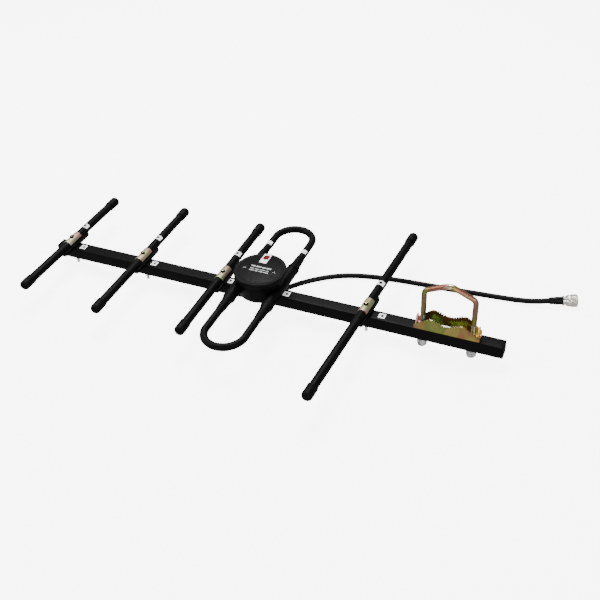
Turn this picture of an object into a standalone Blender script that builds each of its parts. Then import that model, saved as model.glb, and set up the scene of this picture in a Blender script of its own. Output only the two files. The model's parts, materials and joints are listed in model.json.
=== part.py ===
"""Five-element UHF Yagi antenna with a boxed folded dipole, a coaxial tail and a U-bolt mast clamp.

Units are metres and +Z is up. The boom runs along X with its clamp end at +X, so the antenna
points along -X. The elements lie along Y: their left ends, seen along the pointing direction,
are at -Y and their right ends at +Y. The lowest point, the U-bolt's leg ends, is at Z = 0.
"""
import math

import bmesh
import bpy
from mathutils import Matrix, Vector

# Clearances.
GAP = 0.0003                 # between parts that touch
BOLT_CLEARANCE = 0.0003      # around a bolt in its hole

# Boom: a square tube with a plug in each end.
BOOM_SIDE = 0.0160
BOOM_WALL = 0.0013
BOOM_CORNER = 0.0012
BOOM_LENGTH = 0.6270         # over both plugs
BOOM_BOTTOM = 0.0140         # height of the boom's underside
BOOM_TOP = BOOM_BOTTOM + BOOM_SIDE
PLUG_FLANGE = 0.0026
PLUG_DOME = 0.0005
PLUG_SPIGOT = 0.0090

# Straight elements: distance from the boom's clamp end, half length over the caps, and how far
# out of square the element sits on its single screw, in degrees anticlockwise from above.
ELEMENTS = {
    "director_1": (0.6035, 0.1107, 0.2),
    "director_2": (0.4870, 0.1197, 0.8),
    "director_3": (0.3655, 0.1192, 0.5),
    "reflector": (0.1693, 0.1650, -3.5),
}
ELEMENT_HEIGHT = BOOM_TOP + 0.0076       # axis of every straight element
ROD_RADIUS = 0.0051
ROD_WALL = 0.0010
CAP_RADIUS = 0.00605
CAP_LENGTH = 0.0200
CAP_DOME = 0.0056
CAP_FLOOR = 0.0032           # rubber beyond the end of the rod
CAP_RIM = 0.0004
HOLDER_LENGTH = 0.0560
HOLDER_WIDTH = 0.0146
HOLDER_HEIGHT = 0.0055
HOLDER_CORNER_LENGTH = 0.0050    # cut-back corners at the holder's ends
HOLDER_CORNER_WIDTH = 0.0013
STRAP_LENGTH = 0.0250
STRAP_THICKNESS = 0.0007
STRAP_EDGE_ANGLE = 12        # degrees above the element's axis where the strap's edges lie

# Element screws and nuts (M4).
SCREW_RADIUS = 0.0020
SCREW_HEAD_RADIUS = 0.0031
SCREW_HEAD_HEIGHT = 0.0022
SCREW_HEAD_CROWN = 0.0011    # height of the head's rounded upper part
SCREW_SOCKET_RADIUS = 0.0013
SCREW_SOCKET_DEPTH = 0.0012
SCREW_TIP_CHAMFER = 0.0004
SCREW_END = 0.0010           # height of the screw's lower end
NUT_ACROSS_FLATS = 0.0070
NUT_HEIGHT = 0.0032
NUT_CHAMFER = 0.0004

# Driven element: a folded dipole in two U-shaped halves, joined inside a round housing.
DIPOLE_STATION = 0.3098
DIPOLE_HEIGHT = BOOM_TOP + 0.0087
DIPOLE_HALF_LENGTH = 0.1253  # to the centre line of the bend
DIPOLE_ARM_OFFSET = 0.0260
DIPOLE_RADIUS = 0.00425
DIPOLE_WALL = 0.0010
DIPOLE_FEED_GAP = 0.0160     # between the two halves' ends
HOUSING_RADIUS = 0.0300
HOUSING_WALL = 0.0024
HOUSING_FLOOR = 0.0025
HOUSING_HEIGHT = 0.0242
HOUSING_EDGE = 0.0008        # chamfer round the cup's underside
PORT_RADIUS = 0.0075
PORT_REACH = 0.0370          # from the boom's centre line to the port's mouth
LID_RADIUS = 0.0336
LID_THICKNESS = 0.0054
LID_LIP = 0.0016
LID_ROUNDING = 0.0020
LID_SPIGOT_DEPTH = 0.0036
LID_SPIGOT_WALL = 0.0020
LID_LIP_CLEARANCE = 0.0010
GASKET_THICKNESS = 0.0010
GASKET_INSET = 0.0003
BOOT_STEPS = [               # (distance beyond the port, radius) along a boot
    (0.0, 0.0077), (0.0032, 0.0077), (0.0044, 0.0070), (0.0086, 0.0063), (0.0118, 0.0055),
    (0.0212, 0.0055), (0.0222, 0.0050), (0.0262, 0.0049), (0.0275, 0.0048),
]
BOARD_SIZE = (0.0300, 0.0240, 0.0016)
BOARD_INSET = 0.0060         # from the rear arms' centre line to the board's edge
LINK_OVERLAP = 0.0070        # how far the joining link reaches into each arm
HOUSING_SCREW_OFFSET = 0.0150
HOUSING_SCREW_RADIUS = 0.0016
HOUSING_SCREW_HEAD_RADIUS = 0.0031
HOUSING_SCREW_HEAD_HEIGHT = 0.0022
BOSS_RADIUS = 0.0042
BOSS_TOP = DIPOLE_HEIGHT + DIPOLE_RADIUS     # the feed board lies on the rear boss and the arms

# Mast clamp: a toothed channel saddle and an M6 U-bolt through the boom.
CLAMP_STATION = 0.0681
SADDLE_LENGTH = 0.0780
SADDLE_SHEET = 0.0018
SADDLE_FLARE = 0.0020        # how far each wall leans out at the height of the humps
SADDLE_END_HEIGHT = 0.0055
SADDLE_HUMP_HEIGHT = 0.0192
SADDLE_VALLEY_HEIGHT = 0.0142
SADDLE_HUMP_OFFSET = 0.0186
SADDLE_VALLEY_HALF = 0.0050
SADDLE_HUMP_HALF = 0.0026    # half width of a hump's flat top
SADDLE_HUMP_DROP = 0.0004    # how much lower a hump's top is at its edges
SADDLE_SHOULDER = [          # (distance beyond a hump's middle, height)
    (0.0074, 0.0155), (0.0119, 0.0115), (0.0164, 0.0085),
]
SADDLE_FOOT = 0.0010         # chamfer along the channel's lower edges
TOOTH_COUNT = 4
TOOTH_DEPTH = 0.0018
TOOTH_FACE = 0.0002          # length over which a tooth's steep face rises
LUG_WIDTH = 0.0088
LUG_HEIGHT = 0.0168
LUG_INSET = 0.0012           # from the saddle's end to the lug's outer face
LUG_WAIST = 0.0009
UBOLT_SPACING = 0.0600
UBOLT_RADIUS = 0.0030
UBOLT_SHOULDER_HEIGHT = BOOM_BOTTOM + 0.0700
UBOLT_APEX_HEIGHT = BOOM_BOTTOM + 0.0840
UBOLT_SHOULDER_BEND = 0.0075
UBOLT_APEX_BEND = 0.0140
CLAMP_NUT_ACROSS_FLATS = 0.0110
CLAMP_NUT_HEIGHT = 0.0096    # flange and hexagon
CLAMP_NUT_CHAMFER = 0.0005
CLAMP_NUT_FLANGE_RADIUS = 0.0067
CLAMP_NUT_FLANGE = 0.0016
CLAMP_NUT_COLLAR = 0.0012
CLAMP_NUT_COLLAR_RADIUS = 0.0052
CLAMP_NUT_COLLAR_EDGE = 0.0006
CLAMP_NUT_TURN = 25          # degrees, how the tightened nuts happen to stand
WASHER_RADIUS = 0.0064
WASHER_THICKNESS = 0.0016

# Coaxial tail. The route's points are chosen by hand, in metres.
CABLE_RADIUS = 0.0030
CABLE_EXIT = Vector((0.0170, 0.0175, BOOM_TOP))
CABLE_ROUTE = [
    (0.0177, 0.0210, 0.0191), (0.0187, 0.0273, 0.0128), (0.0198, 0.0352, 0.0080),
    (0.0220, 0.0436, 0.0049), (0.0274, 0.0525, 0.0035), (0.0348, 0.0604, 0.0032),
    (0.0432, 0.0680, 0.0032), (0.0520, 0.0749, 0.0032), (0.0610, 0.0812, 0.0032),
    (0.0706, 0.0865, 0.0032), (0.0802, 0.0911, 0.0032), (0.0903, 0.0949, 0.0032),
    (0.1007, 0.0979, 0.0032), (0.1218, 0.1021, 0.0032), (0.1432, 0.1048, 0.0032),
    (0.1649, 0.1066, 0.0032), (0.1864, 0.1079, 0.0032), (0.2227, 0.1101, 0.0032),
    (0.2593, 0.1127, 0.0032), (0.2795, 0.1141, 0.0033), (0.2996, 0.1153, 0.0038),
    (0.3175, 0.1165, 0.0052), (0.3320, 0.1185, 0.0071), (0.3434, 0.1222, 0.0082),
]
CABLE_POINTS = 68
GLAND_SPIGOT_RADIUS = CABLE_RADIUS + 0.0012
GLAND_FLANGE_RADIUS = 0.0065
GLAND_FLANGE_THICKNESS = 0.0016
GLAND_NECK_RADIUS = 0.0050
GLAND_TIP_RADIUS = 0.0037
GLAND_BEND_RADIUS = 0.0140
GLAND_BEND_ANGLE = 40
GLAND_HEADING = Vector((0.20, 0.98, 0.0)).normalized()
CONNECTOR_AXIS_HEIGHT = 0.0082
CONNECTOR_HEADING = 20.0     # degrees from +X towards +Y
CABLE_SLEEVE_RADIUS = 0.0045
CABLE_SLEEVE_LENGTH = 0.0155
CABLE_SLEEVE_TAPER = (0.0012, 0.0006)    # length and depth of its tapered end
FERRULE_RADIUS = 0.0064
FERRULE_LENGTH = 0.0062
CONNECTOR_RADIUS = 0.0080
CONNECTOR_LENGTH = 0.0178
SHOULDER_LENGTH = 0.0030     # knurled shoulder behind the ferrule
NECK_LENGTH = 0.0012
NECK_DEPTH = 0.0009
THREAD_DEPTH = 0.0002        # of the thread's plain stand-in below the shoulder
EDGE = 0.0004                # chamfers on turned metal
SOCKET_RADIUS = 0.0043
SOCKET_DEPTH = 0.0090
INSERT_THICKNESS = 0.0024
CONTACT_RADIUS = 0.0015
CONTACT_TOP = 0.0076

# Facets around a turned piece.
SEGMENTS_LARGE = 36
SEGMENTS_ROD = 14
SEGMENTS_SMALL = 12

MATERIALS = {
    "boom_black": ((0.020, 0.020, 0.021), 0.3, 0.38),
    "plastic_black": ((0.022, 0.022, 0.024), 0.0, 0.50),
    "rubber_black": ((0.016, 0.016, 0.017), 0.0, 0.70),
    "housing_black": ((0.030, 0.032, 0.034), 0.0, 0.45),
    "zinc_yellow": ((0.58, 0.50, 0.26), 1.0, 0.34),
    "steel_bright": ((0.66, 0.66, 0.65), 1.0, 0.28),
    "cable_black": ((0.018, 0.018, 0.019), 0.0, 0.55),
    "nickel": ((0.72, 0.71, 0.68), 1.0, 0.20),
    "ptfe_white": ((0.85, 0.85, 0.82), 0.0, 0.40),
    "board_green": ((0.04, 0.17, 0.08), 0.0, 0.45),
    "copper": ((0.78, 0.42, 0.26), 1.0, 0.30),
}


# ---------------------------------------------------------------- scene and helpers

def clear_scene():
    for item in list(bpy.data.objects):
        bpy.data.objects.remove(item, do_unlink=True)


def make_material(name):
    """Returns the Principled material of this name, making it the first time."""
    found = bpy.data.materials.get(name)
    if found:
        return found
    colour, metallic, roughness = MATERIALS[name]
    made = bpy.data.materials.new(name)
    made.use_nodes = True
    shader = made.node_tree.nodes["Principled BSDF"]
    shader.inputs["Base Color"].default_value = (*colour, 1.0)
    shader.inputs["Metallic"].default_value = metallic
    shader.inputs["Roughness"].default_value = roughness
    return made


def place(item, parent, location):
    item.location = location
    if parent:
        item.parent = parent
    bpy.context.collection.objects.link(item)
    return item


def add_part(name, mesh_builder, material, parent=None, location=(0, 0, 0)):
    """Turns a bmesh into a named object with its own material and soft shading."""
    bmesh.ops.recalc_face_normals(mesh_builder, faces=mesh_builder.faces)
    if mesh_builder.calc_volume(signed=True) < 0.0:
        bmesh.ops.reverse_faces(mesh_builder, faces=mesh_builder.faces)
    mesh = bpy.data.meshes.new(name)
    mesh_builder.to_mesh(mesh)
    mesh_builder.free()
    mesh.materials.append(make_material(material))
    mesh.shade_smooth()
    mesh.set_sharp_from_angle(angle=math.radians(35))
    return place(bpy.data.objects.new(name, mesh), parent, location)


def add_cutter(name, mesh_builder, parent=None, location=(0, 0, 0)):
    """A hidden solid that a Boolean takes away from, or adds to, a part."""
    cutter = add_part(name, mesh_builder, "plastic_black", parent, location)
    cutter.hide_render = True
    cutter.display_type = "WIRE"
    return cutter


def boolean(target, tool, operation="DIFFERENCE"):
    modifier = target.modifiers.new(tool.name, "BOOLEAN")
    modifier.operation = operation
    modifier.solver = "EXACT"
    modifier.object = tool


def turned(profile, segments):
    """Spins (radius, height) points about Z. A profile that leaves the axis closes on itself."""
    builder = bmesh.new()
    verts = [builder.verts.new((radius, 0.0, height)) for radius, height in profile]
    edges = [builder.edges.new(pair) for pair in zip(verts, verts[1:])]
    if profile[0][0] > 0.0:
        edges.append(builder.edges.new((verts[-1], verts[0])))
    bmesh.ops.spin(builder, geom=verts + edges, cent=(0, 0, 0), axis=(0, 0, 1),
                   angle=math.tau, steps=segments, use_merge=True)
    bmesh.ops.remove_doubles(builder, verts=builder.verts, dist=1e-6)
    flat_centres = [vert for vert in builder.verts if math.hypot(vert.co.x, vert.co.y) < 1e-6
                    and all(abs(edge.other_vert(vert).co.z - vert.co.z) < 1e-7
                            for edge in vert.link_edges)]
    bmesh.ops.dissolve_verts(builder, verts=flat_centres)
    return builder


def cylinder(radius, low, high, segments=SEGMENTS_SMALL):
    builder = bmesh.new()
    middle = Matrix.Translation((0.0, 0.0, (low + high) / 2))
    bmesh.ops.create_cone(builder, cap_ends=True, segments=segments, radius1=radius, radius2=radius,
                          depth=high - low, matrix=middle)
    return builder


def box(size, centre):
    builder = bmesh.new()
    bmesh.ops.create_cube(builder, size=1.0)
    bmesh.ops.scale(builder, vec=size, verts=builder.verts)
    bmesh.ops.translate(builder, vec=centre, verts=builder.verts)
    return builder


def along_y(builder, sign=1):
    """Turns a piece built along +Z to lie along +Y, or along -Y for a sign of -1."""
    builder.transform(Matrix.Rotation(math.radians(-90.0 * sign), 4, "X"))
    return builder


def arc(centre, radius, start, end, steps):
    """Points on an arc, from one angle to another, in degrees."""
    for step in range(steps + 1):
        angle = math.radians(start + (end - start) * step / steps)
        yield centre[0] + radius * math.cos(angle), centre[1] + radius * math.sin(angle)


def extruded(outline, length, axis):
    """Extrudes a flat outline by length, centred on its plane. The outline is YZ or XZ."""
    builder = bmesh.new()
    if axis == "X":
        verts = [builder.verts.new((-length / 2, first, second)) for first, second in outline]
        step = (length, 0, 0)
    else:
        verts = [builder.verts.new((first, -length / 2, second)) for first, second in outline]
        step = (0, length, 0)
    face = builder.faces.new(verts)
    grown = bmesh.ops.extrude_face_region(builder, geom=[face])
    moved = [item for item in grown["geom"] if isinstance(item, bmesh.types.BMVert)]
    bmesh.ops.translate(builder, vec=step, verts=moved)
    return builder


def rounded_square(side, corner, steps=3):
    """Outline of a square with round corners, anticlockwise."""
    reach = side / 2 - corner
    points = []
    for index, (sign_a, sign_b) in enumerate([(1, 1), (-1, 1), (-1, -1), (1, -1)]):
        centre = (sign_a * reach, sign_b * reach)
        points += list(arc(centre, corner, 90 * index, 90 * index + 90, steps))
    return points


def hexagon_prism(across_flats, low, high, chamfer):
    """A hexagon along Z whose corners are cut back at both ends."""
    flat = across_flats / 2
    corner = flat / math.cos(math.radians(30))
    profile = [(0.0, low), (corner - chamfer, low), (corner, low + chamfer),
               (corner, high - chamfer), (corner - chamfer, high), (0.0, high)]
    return turned(profile, 6)


def lofted(rings):
    """Joins closed rings of equal point counts, in order, and closes both ends."""
    builder = bmesh.new()
    loops = [[builder.verts.new(point) for point in ring] for ring in rings]
    for loop, following in zip(loops, loops[1:]):
        for index in range(len(loop)):
            after = (index + 1) % len(loop)
            builder.faces.new((loop[index], loop[after], following[after], following[index]))
    builder.faces.new(loops[0])
    builder.faces.new(loops[-1])
    return builder


def swept_tube(path, outer, inner):
    """Sweeps a round tube along a path. Frames follow the path without twisting."""
    points = [Vector(point) for point in path]
    outer_rings, inner_rings = [], []
    side = Vector((0.0, 0.0, 1.0))
    for index, point in enumerate(points):
        ahead = points[min(index + 1, len(points) - 1)] - points[max(index - 1, 0)]
        tangent = ahead.normalized()
        side = (side - tangent * side.dot(tangent)).normalized()
        outer_rings.append(ring_at(point, side, tangent.cross(side), outer))
        inner_rings.append(ring_at(point, side, tangent.cross(side), inner))
    builder = bmesh.new()
    rings = outer_rings + inner_rings[::-1]
    loops = [[builder.verts.new(point) for point in ring] for ring in rings]
    for loop, following in zip(loops, loops[1:] + loops[:1]):
        for step in range(SEGMENTS_SMALL):
            after = (step + 1) % SEGMENTS_SMALL
            builder.faces.new((loop[step], loop[after], following[after], following[step]))
    return builder


def ring_at(centre, side, other, radius, segments=SEGMENTS_SMALL):
    """Points of a circle in the plane of two directions."""
    angles = [math.tau * step / segments for step in range(segments)]
    return [centre + (side * math.cos(angle) + other * math.sin(angle)) * radius for angle in angles]


def station(distance):
    """X of a point this far from the boom's clamp end."""
    return BOOM_LENGTH / 2 - distance


# ---------------------------------------------------------------- boom

def build_boom():
    tube_length = BOOM_LENGTH - 2 * (PLUG_FLANGE + PLUG_DOME + GAP)
    middle = (0.0, 0.0, BOOM_BOTTOM + BOOM_SIDE / 2)
    inner_side = BOOM_SIDE - 2 * BOOM_WALL
    boom = add_part("boom_tube", extruded(rounded_square(BOOM_SIDE, BOOM_CORNER), tube_length, "X"),
                    "boom_black", location=middle)
    bore = extruded(rounded_square(inner_side, BOOM_CORNER / 2), tube_length + BOOM_SIDE, "X")
    boolean(boom, add_cutter("boom_bore", bore, location=middle))
    for name, end in (("boom_plug_front", -1), ("boom_plug_rear", 1)):
        add_part(name, build_plug(end, inner_side - 2 * GAP), "plastic_black",
                 location=(end * (tube_length / 2 + GAP), middle[1], middle[2]))
    return boom


def build_plug(end, spigot_side):
    """A spigot that goes into the boom and a square flange with a slightly domed face."""
    sections = [
        (-PLUG_SPIGOT - GAP, spigot_side), (0.0, spigot_side), (0.0, BOOM_SIDE),
        (PLUG_FLANGE, BOOM_SIDE), (PLUG_FLANGE + PLUG_DOME, BOOM_SIDE * 0.7),
    ]
    rings = [[(end * x, a, b) for a, b in rounded_square(side, BOOM_CORNER)] for x, side in sections]
    return lofted(rings)


# ---------------------------------------------------------------- straight elements

def build_element(name, boom):
    """One rod with its caps, holder, strap, screw and nut. Only the last two stay put."""
    distance, half_length, skew = ELEMENTS[name]
    pivot = bpy.data.objects.new(f"{name}_pivot", None)
    place(pivot, None, (station(distance), 0.0, ELEMENT_HEIGHT))
    pivot.rotation_euler = (0.0, 0.0, math.radians(skew))
    bore_radius = SCREW_RADIUS + BOLT_CLEARANCE
    bore = add_cutter(f"{name}_bore", cylinder(bore_radius, -ELEMENT_HEIGHT, ELEMENT_HEIGHT), pivot)

    rod_end = half_length - CAP_FLOOR - GAP
    rod = add_part(f"{name}_rod", build_rod(rod_end), "boom_black", pivot)
    holder = add_part(f"{name}_holder", build_holder(), "plastic_black", pivot)
    strap = add_part(f"{name}_strap", build_strap(), "zinc_yellow", pivot)
    for part in (rod, holder, strap, boom):
        boolean(part, bore)
    for side, sign in (("left", -1), ("right", 1)):
        add_part(f"{name}_cap_{side}", along_y(build_cap(half_length), sign), "rubber_black", pivot)

    head_seat = ROD_RADIUS + GAP + STRAP_THICKNESS + GAP
    screw = add_part(f"{name}_screw", build_screw(head_seat), "steel_bright", pivot)
    socket = cylinder(SCREW_SOCKET_RADIUS, head_seat + SCREW_HEAD_HEIGHT - SCREW_SOCKET_DEPTH,
                      head_seat + 2 * SCREW_HEAD_HEIGHT, 6)
    boolean(screw, add_cutter(f"{name}_screw_socket", socket, pivot))
    nut_top = BOOM_BOTTOM - GAP - ELEMENT_HEIGHT
    hexagon = hexagon_prism(NUT_ACROSS_FLATS, nut_top - NUT_HEIGHT, nut_top, NUT_CHAMFER)
    nut = add_part(f"{name}_nut", hexagon, "steel_bright", pivot)
    boolean(nut, bore)


def build_rod(half_length):
    """A round tube along Y, centred."""
    inner = ROD_RADIUS - ROD_WALL
    profile = [(inner, -half_length), (ROD_RADIUS, -half_length), (ROD_RADIUS, half_length),
               (inner, half_length)]
    return along_y(turned(profile, SEGMENTS_ROD))


def build_cap(half_length):
    """A round-ended rubber cup over the end of a rod, built along +Z from the element's middle."""
    mouth = half_length - CAP_LENGTH
    shoulder = half_length - CAP_DOME
    cup_floor = half_length - CAP_FLOOR
    dome = [(CAP_RADIUS * math.cos(angle), shoulder + CAP_DOME * math.sin(angle))
            for angle in (math.radians(step * 18) for step in range(5))]
    profile = [(0.0, cup_floor), (ROD_RADIUS + GAP, cup_floor), (ROD_RADIUS + GAP, mouth),
               (CAP_RADIUS - CAP_RIM, mouth), (CAP_RADIUS, mouth + CAP_RIM), *dome,
               (0.0, half_length)]
    return turned(profile, SEGMENTS_ROD)


def build_holder():
    """A straight cradle between the boom and the rod, with cut-back corners at its ends."""
    half = HOLDER_WIDTH / 2
    end = HOLDER_LENGTH / 2
    sections = [(-end, half - HOLDER_CORNER_WIDTH), (-end + HOLDER_CORNER_LENGTH, half),
                (end - HOLDER_CORNER_LENGTH, half), (end, half - HOLDER_CORNER_WIDTH)]
    return lofted([[(x, y, z) for x, z in holder_outline(half_width)] for y, half_width in sections])


def holder_outline(half_width):
    """The holder's XZ outline: a block with a groove for the rod."""
    bottom = BOOM_TOP + GAP - ELEMENT_HEIGHT
    top = bottom + HOLDER_HEIGHT
    groove = ROD_RADIUS + GAP
    edge = math.degrees(math.asin(-top / groove))
    outline = [(half_width, bottom), (half_width, top)]
    outline += list(arc((0.0, 0.0), groove, -edge, -180 + edge, 10))
    return outline + [(-half_width, top), (-half_width, bottom)]


def build_strap():
    """A curved strap over the rod."""
    inner = ROD_RADIUS + GAP
    low, high = STRAP_EDGE_ANGLE, 180 - STRAP_EDGE_ANGLE
    outline = [*arc((0.0, 0.0), inner + STRAP_THICKNESS, low, high, 14),
               *arc((0.0, 0.0), inner, high, low, 14)]
    return extruded(outline, STRAP_LENGTH, "Y")


def build_screw(head_seat):
    """A domed screw whose head sits on the strap and whose end passes the nut."""
    tip = SCREW_END - ELEMENT_HEIGHT
    crown = head_seat + SCREW_HEAD_HEIGHT
    rim = crown - SCREW_HEAD_CROWN
    profile = [(0.0, tip), (SCREW_RADIUS - SCREW_TIP_CHAMFER, tip),
               (SCREW_RADIUS, tip + SCREW_TIP_CHAMFER), (SCREW_RADIUS, head_seat),
               (SCREW_HEAD_RADIUS, head_seat), (SCREW_HEAD_RADIUS, rim),
               (SCREW_HEAD_RADIUS * 0.85, crown - SCREW_HEAD_CROWN / 4),
               (SCREW_HEAD_RADIUS * 0.6, crown), (0.0, crown)]
    return turned(profile, SEGMENTS_SMALL)


# ---------------------------------------------------------------- driven element

def build_dipole():
    """Two U-shaped tubes along Y. Each starts and ends inside the housing."""
    centre = (station(DIPOLE_STATION), 0.0, DIPOLE_HEIGHT)
    reach = DIPOLE_HALF_LENGTH - DIPOLE_ARM_OFFSET
    inner_end = DIPOLE_FEED_GAP / 2
    for side, sign in (("left", -1), ("right", 1)):
        bend = arc((0.0, reach), DIPOLE_ARM_OFFSET, 0, 180, 15)
        plan = [(DIPOLE_ARM_OFFSET, inner_end), *bend, (-DIPOLE_ARM_OFFSET, inner_end)]
        path = [(x, sign * y, 0.0) for x, y in plan]
        builder = swept_tube(path, DIPOLE_RADIUS, DIPOLE_RADIUS - DIPOLE_WALL)
        add_part(f"dipole_half_{side}", builder, "boom_black", location=centre)
        for place_name, arm in (("front", -1), ("rear", 1)):
            add_part(f"boot_{side}_{place_name}", along_y(build_boot(), sign), "rubber_black",
                     location=(centre[0] + arm * DIPOLE_ARM_OFFSET, 0.0, DIPOLE_HEIGHT))


def build_boot():
    """A stepped rubber boot over an arm, from the housing's port outwards."""
    inner = DIPOLE_RADIUS + GAP
    start = PORT_REACH + GAP
    profile = [(radius, start + along) for along, radius in BOOT_STEPS]
    end = start + BOOT_STEPS[-1][0]
    return turned([(inner, start), *profile, (inner, end)], SEGMENTS_ROD)


def build_housing(boom):
    """A round cup on the boom, with four ports for the arms, a lid on a gasket and its innards."""
    middle_x = station(DIPOLE_STATION)
    floor = BOOM_TOP + GAP
    origin = (middle_x, 0.0, floor)
    inner = HOUSING_RADIUS - HOUSING_WALL
    profile = [(0.0, 0.0), (HOUSING_RADIUS - HOUSING_EDGE, 0.0), (HOUSING_RADIUS, HOUSING_EDGE),
               (HOUSING_RADIUS, HOUSING_HEIGHT), (0.0, HOUSING_HEIGHT)]
    cup = add_part("housing_base", turned(profile, SEGMENTS_LARGE), "housing_black", location=origin)

    hollow = cylinder(inner, HOUSING_FLOOR, 2 * HOUSING_HEIGHT, SEGMENTS_LARGE)
    hollow_cutter = add_cutter("housing_hollow", hollow, location=origin)
    bores = []
    for arm_name, arm in (("front", -1), ("rear", 1)):
        arm_at = (middle_x + arm * DIPOLE_ARM_OFFSET, 0.0, DIPOLE_HEIGHT)
        ports = along_y(cylinder(PORT_RADIUS, -PORT_REACH, PORT_REACH, SEGMENTS_ROD))
        boolean(cup, add_cutter(f"ports_{arm_name}", ports, location=arm_at), "UNION")
        bore = along_y(cylinder(DIPOLE_RADIUS + GAP, -2 * PORT_REACH, 2 * PORT_REACH, SEGMENTS_ROD))
        bores.append(add_cutter(f"arm_bore_{arm_name}", bore, location=arm_at))
    for cutter in (hollow_cutter, *bores):
        boolean(cup, cutter)

    for index, sign in enumerate((-1, 1), start=1):
        at = (middle_x + sign * HOUSING_SCREW_OFFSET, 0.0, floor)
        boss = cylinder(BOSS_RADIUS, HOUSING_FLOOR * 0.5, BOSS_TOP - floor, SEGMENTS_ROD)
        boolean(cup, add_cutter(f"boss_{index}", boss, location=at), "UNION")
        bore = cylinder(HOUSING_SCREW_RADIUS + BOLT_CLEARANCE, -2 * BOOM_SIDE,
                        (BOSS_TOP - floor) * 0.8)
        cutter = add_cutter(f"housing_screw_bore_{index}", bore, location=at)
        boolean(cup, cutter)
        boolean(boom, cutter)
        add_part(f"housing_screw_{index}", build_housing_screw(floor), "steel_bright",
                 location=(at[0], at[1], 0.0))
    gland_bore = cylinder(GLAND_SPIGOT_RADIUS + GAP, -HOUSING_FLOOR, 2 * HOUSING_FLOOR)
    boolean(cup, add_cutter("gland_bore", gland_bore, location=(CABLE_EXIT.x, CABLE_EXIT.y, floor)))

    gasket_low = floor + HOUSING_HEIGHT + GAP
    gasket_inner, gasket_outer = inner + GASKET_INSET, HOUSING_RADIUS - GASKET_INSET
    gasket = turned([(gasket_inner, 0.0), (gasket_outer, 0.0), (gasket_outer, GASKET_THICKNESS),
                     (gasket_inner, GASKET_THICKNESS)], SEGMENTS_LARGE)
    add_part("lid_gasket", gasket, "rubber_black", location=(middle_x, 0.0, gasket_low))
    lid_low = gasket_low + GASKET_THICKNESS + GAP
    add_part("housing_lid", build_lid(inner), "housing_black", location=(middle_x, 0.0, lid_low))
    build_innards(middle_x)


def build_housing_screw(floor):
    """A pan head under the boom and a shank up into the housing's boss."""
    seat = BOOM_BOTTOM - GAP
    head_low = seat - HOUSING_SCREW_HEAD_HEIGHT
    tip = floor + (BOSS_TOP - floor) * 0.7
    return turned([(0.0, head_low), (HOUSING_SCREW_HEAD_RADIUS * 0.8, head_low),
                   (HOUSING_SCREW_HEAD_RADIUS, head_low + HOUSING_SCREW_HEAD_HEIGHT * 0.4),
                   (HOUSING_SCREW_HEAD_RADIUS, seat), (HOUSING_SCREW_RADIUS, seat),
                   (HOUSING_SCREW_RADIUS, tip - EDGE), (HOUSING_SCREW_RADIUS - EDGE, tip),
                   (0.0, tip)], SEGMENTS_SMALL)


def build_lid(cup_inner):
    """A disc wider than the cup, with a rounded rim, a drip lip and a spigot inside the cup."""
    spigot_outer = cup_inner - GAP
    spigot_inner = spigot_outer - LID_SPIGOT_WALL
    lip_inner = HOUSING_RADIUS + LID_LIP_CLEARANCE
    rounding = arc((LID_RADIUS - LID_ROUNDING, LID_THICKNESS - LID_ROUNDING), LID_ROUNDING, 0, 90, 4)
    profile = [(0.0, 0.0), (spigot_inner, 0.0), (spigot_inner, -LID_SPIGOT_DEPTH),
               (spigot_outer, -LID_SPIGOT_DEPTH), (spigot_outer, 0.0), (lip_inner, 0.0),
               (lip_inner, -LID_LIP), (LID_RADIUS - LID_LIP / 2, -LID_LIP),
               (LID_RADIUS, -LID_LIP / 2), *rounding, (0.0, LID_THICKNESS)]
    return turned(profile, SEGMENTS_LARGE)


def build_innards(middle_x):
    """The feed board across the rear arms' ends and the strip that joins the front arms."""
    board_x = middle_x + DIPOLE_ARM_OFFSET - BOARD_SIZE[0] / 2 - BOARD_INSET
    board = box(BOARD_SIZE, (0.0, 0.0, BOARD_SIZE[2] / 2))
    add_part("feed_board", board, "board_green", location=(board_x, 0.0, BOSS_TOP + GAP))
    fit = DIPOLE_RADIUS - DIPOLE_WALL - GAP
    outline = [(fit, 0.0), *arc((0.0, 0.0), fit, 30, 330, 10)]
    link = extruded(outline, DIPOLE_FEED_GAP + 2 * LINK_OVERLAP, "Y")
    add_part("joining_link", link, "copper",
             location=(middle_x - DIPOLE_ARM_OFFSET, 0.0, DIPOLE_HEIGHT))


# ---------------------------------------------------------------- cable and connector

def smooth_route(points, count):
    """Even points on a Catmull-Rom curve through the route's points."""
    knots = [Vector(point) for point in points]
    fine = []
    for index in range(len(knots) - 1):
        before = knots[max(index - 1, 0)]
        start, end = knots[index], knots[index + 1]
        after = knots[min(index + 2, len(knots) - 1)]
        for step in range(20):
            t = step / 20
            fine.append(0.5 * (2 * start + (end - before) * t
                               + (2 * before - 5 * start + 4 * end - after) * t ** 2
                               + (3 * start - before - 3 * end + after) * t ** 3))
    fine.append(knots[-1])
    lengths = [0.0]
    for previous, point in zip(fine, fine[1:]):
        lengths.append(lengths[-1] + (point - previous).length)
    even = []
    position = 0
    for step in range(count):
        target = lengths[-1] * step / (count - 1)
        while position < len(fine) - 2 and lengths[position + 1] < target:
            position += 1
        span = lengths[position + 1] - lengths[position]
        even.append(fine[position].lerp(fine[position + 1], (target - lengths[position]) / span))
    return even


def add_curve(name, points, radius, resolution, material):
    """A round bar along a polyline, with filled ends."""
    curve = bpy.data.curves.new(name, "CURVE")
    curve.dimensions = "3D"
    curve.bevel_depth = radius
    curve.bevel_resolution = resolution
    curve.use_fill_caps = True
    curve.materials.append(make_material(material))
    spline = curve.splines.new("POLY")
    spline.points.add(len(points) - 1)
    for target, point in zip(spline.points, points):
        target.co = (*point, 1.0)
    return place(bpy.data.objects.new(name, curve), None, (0, 0, 0))


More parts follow.
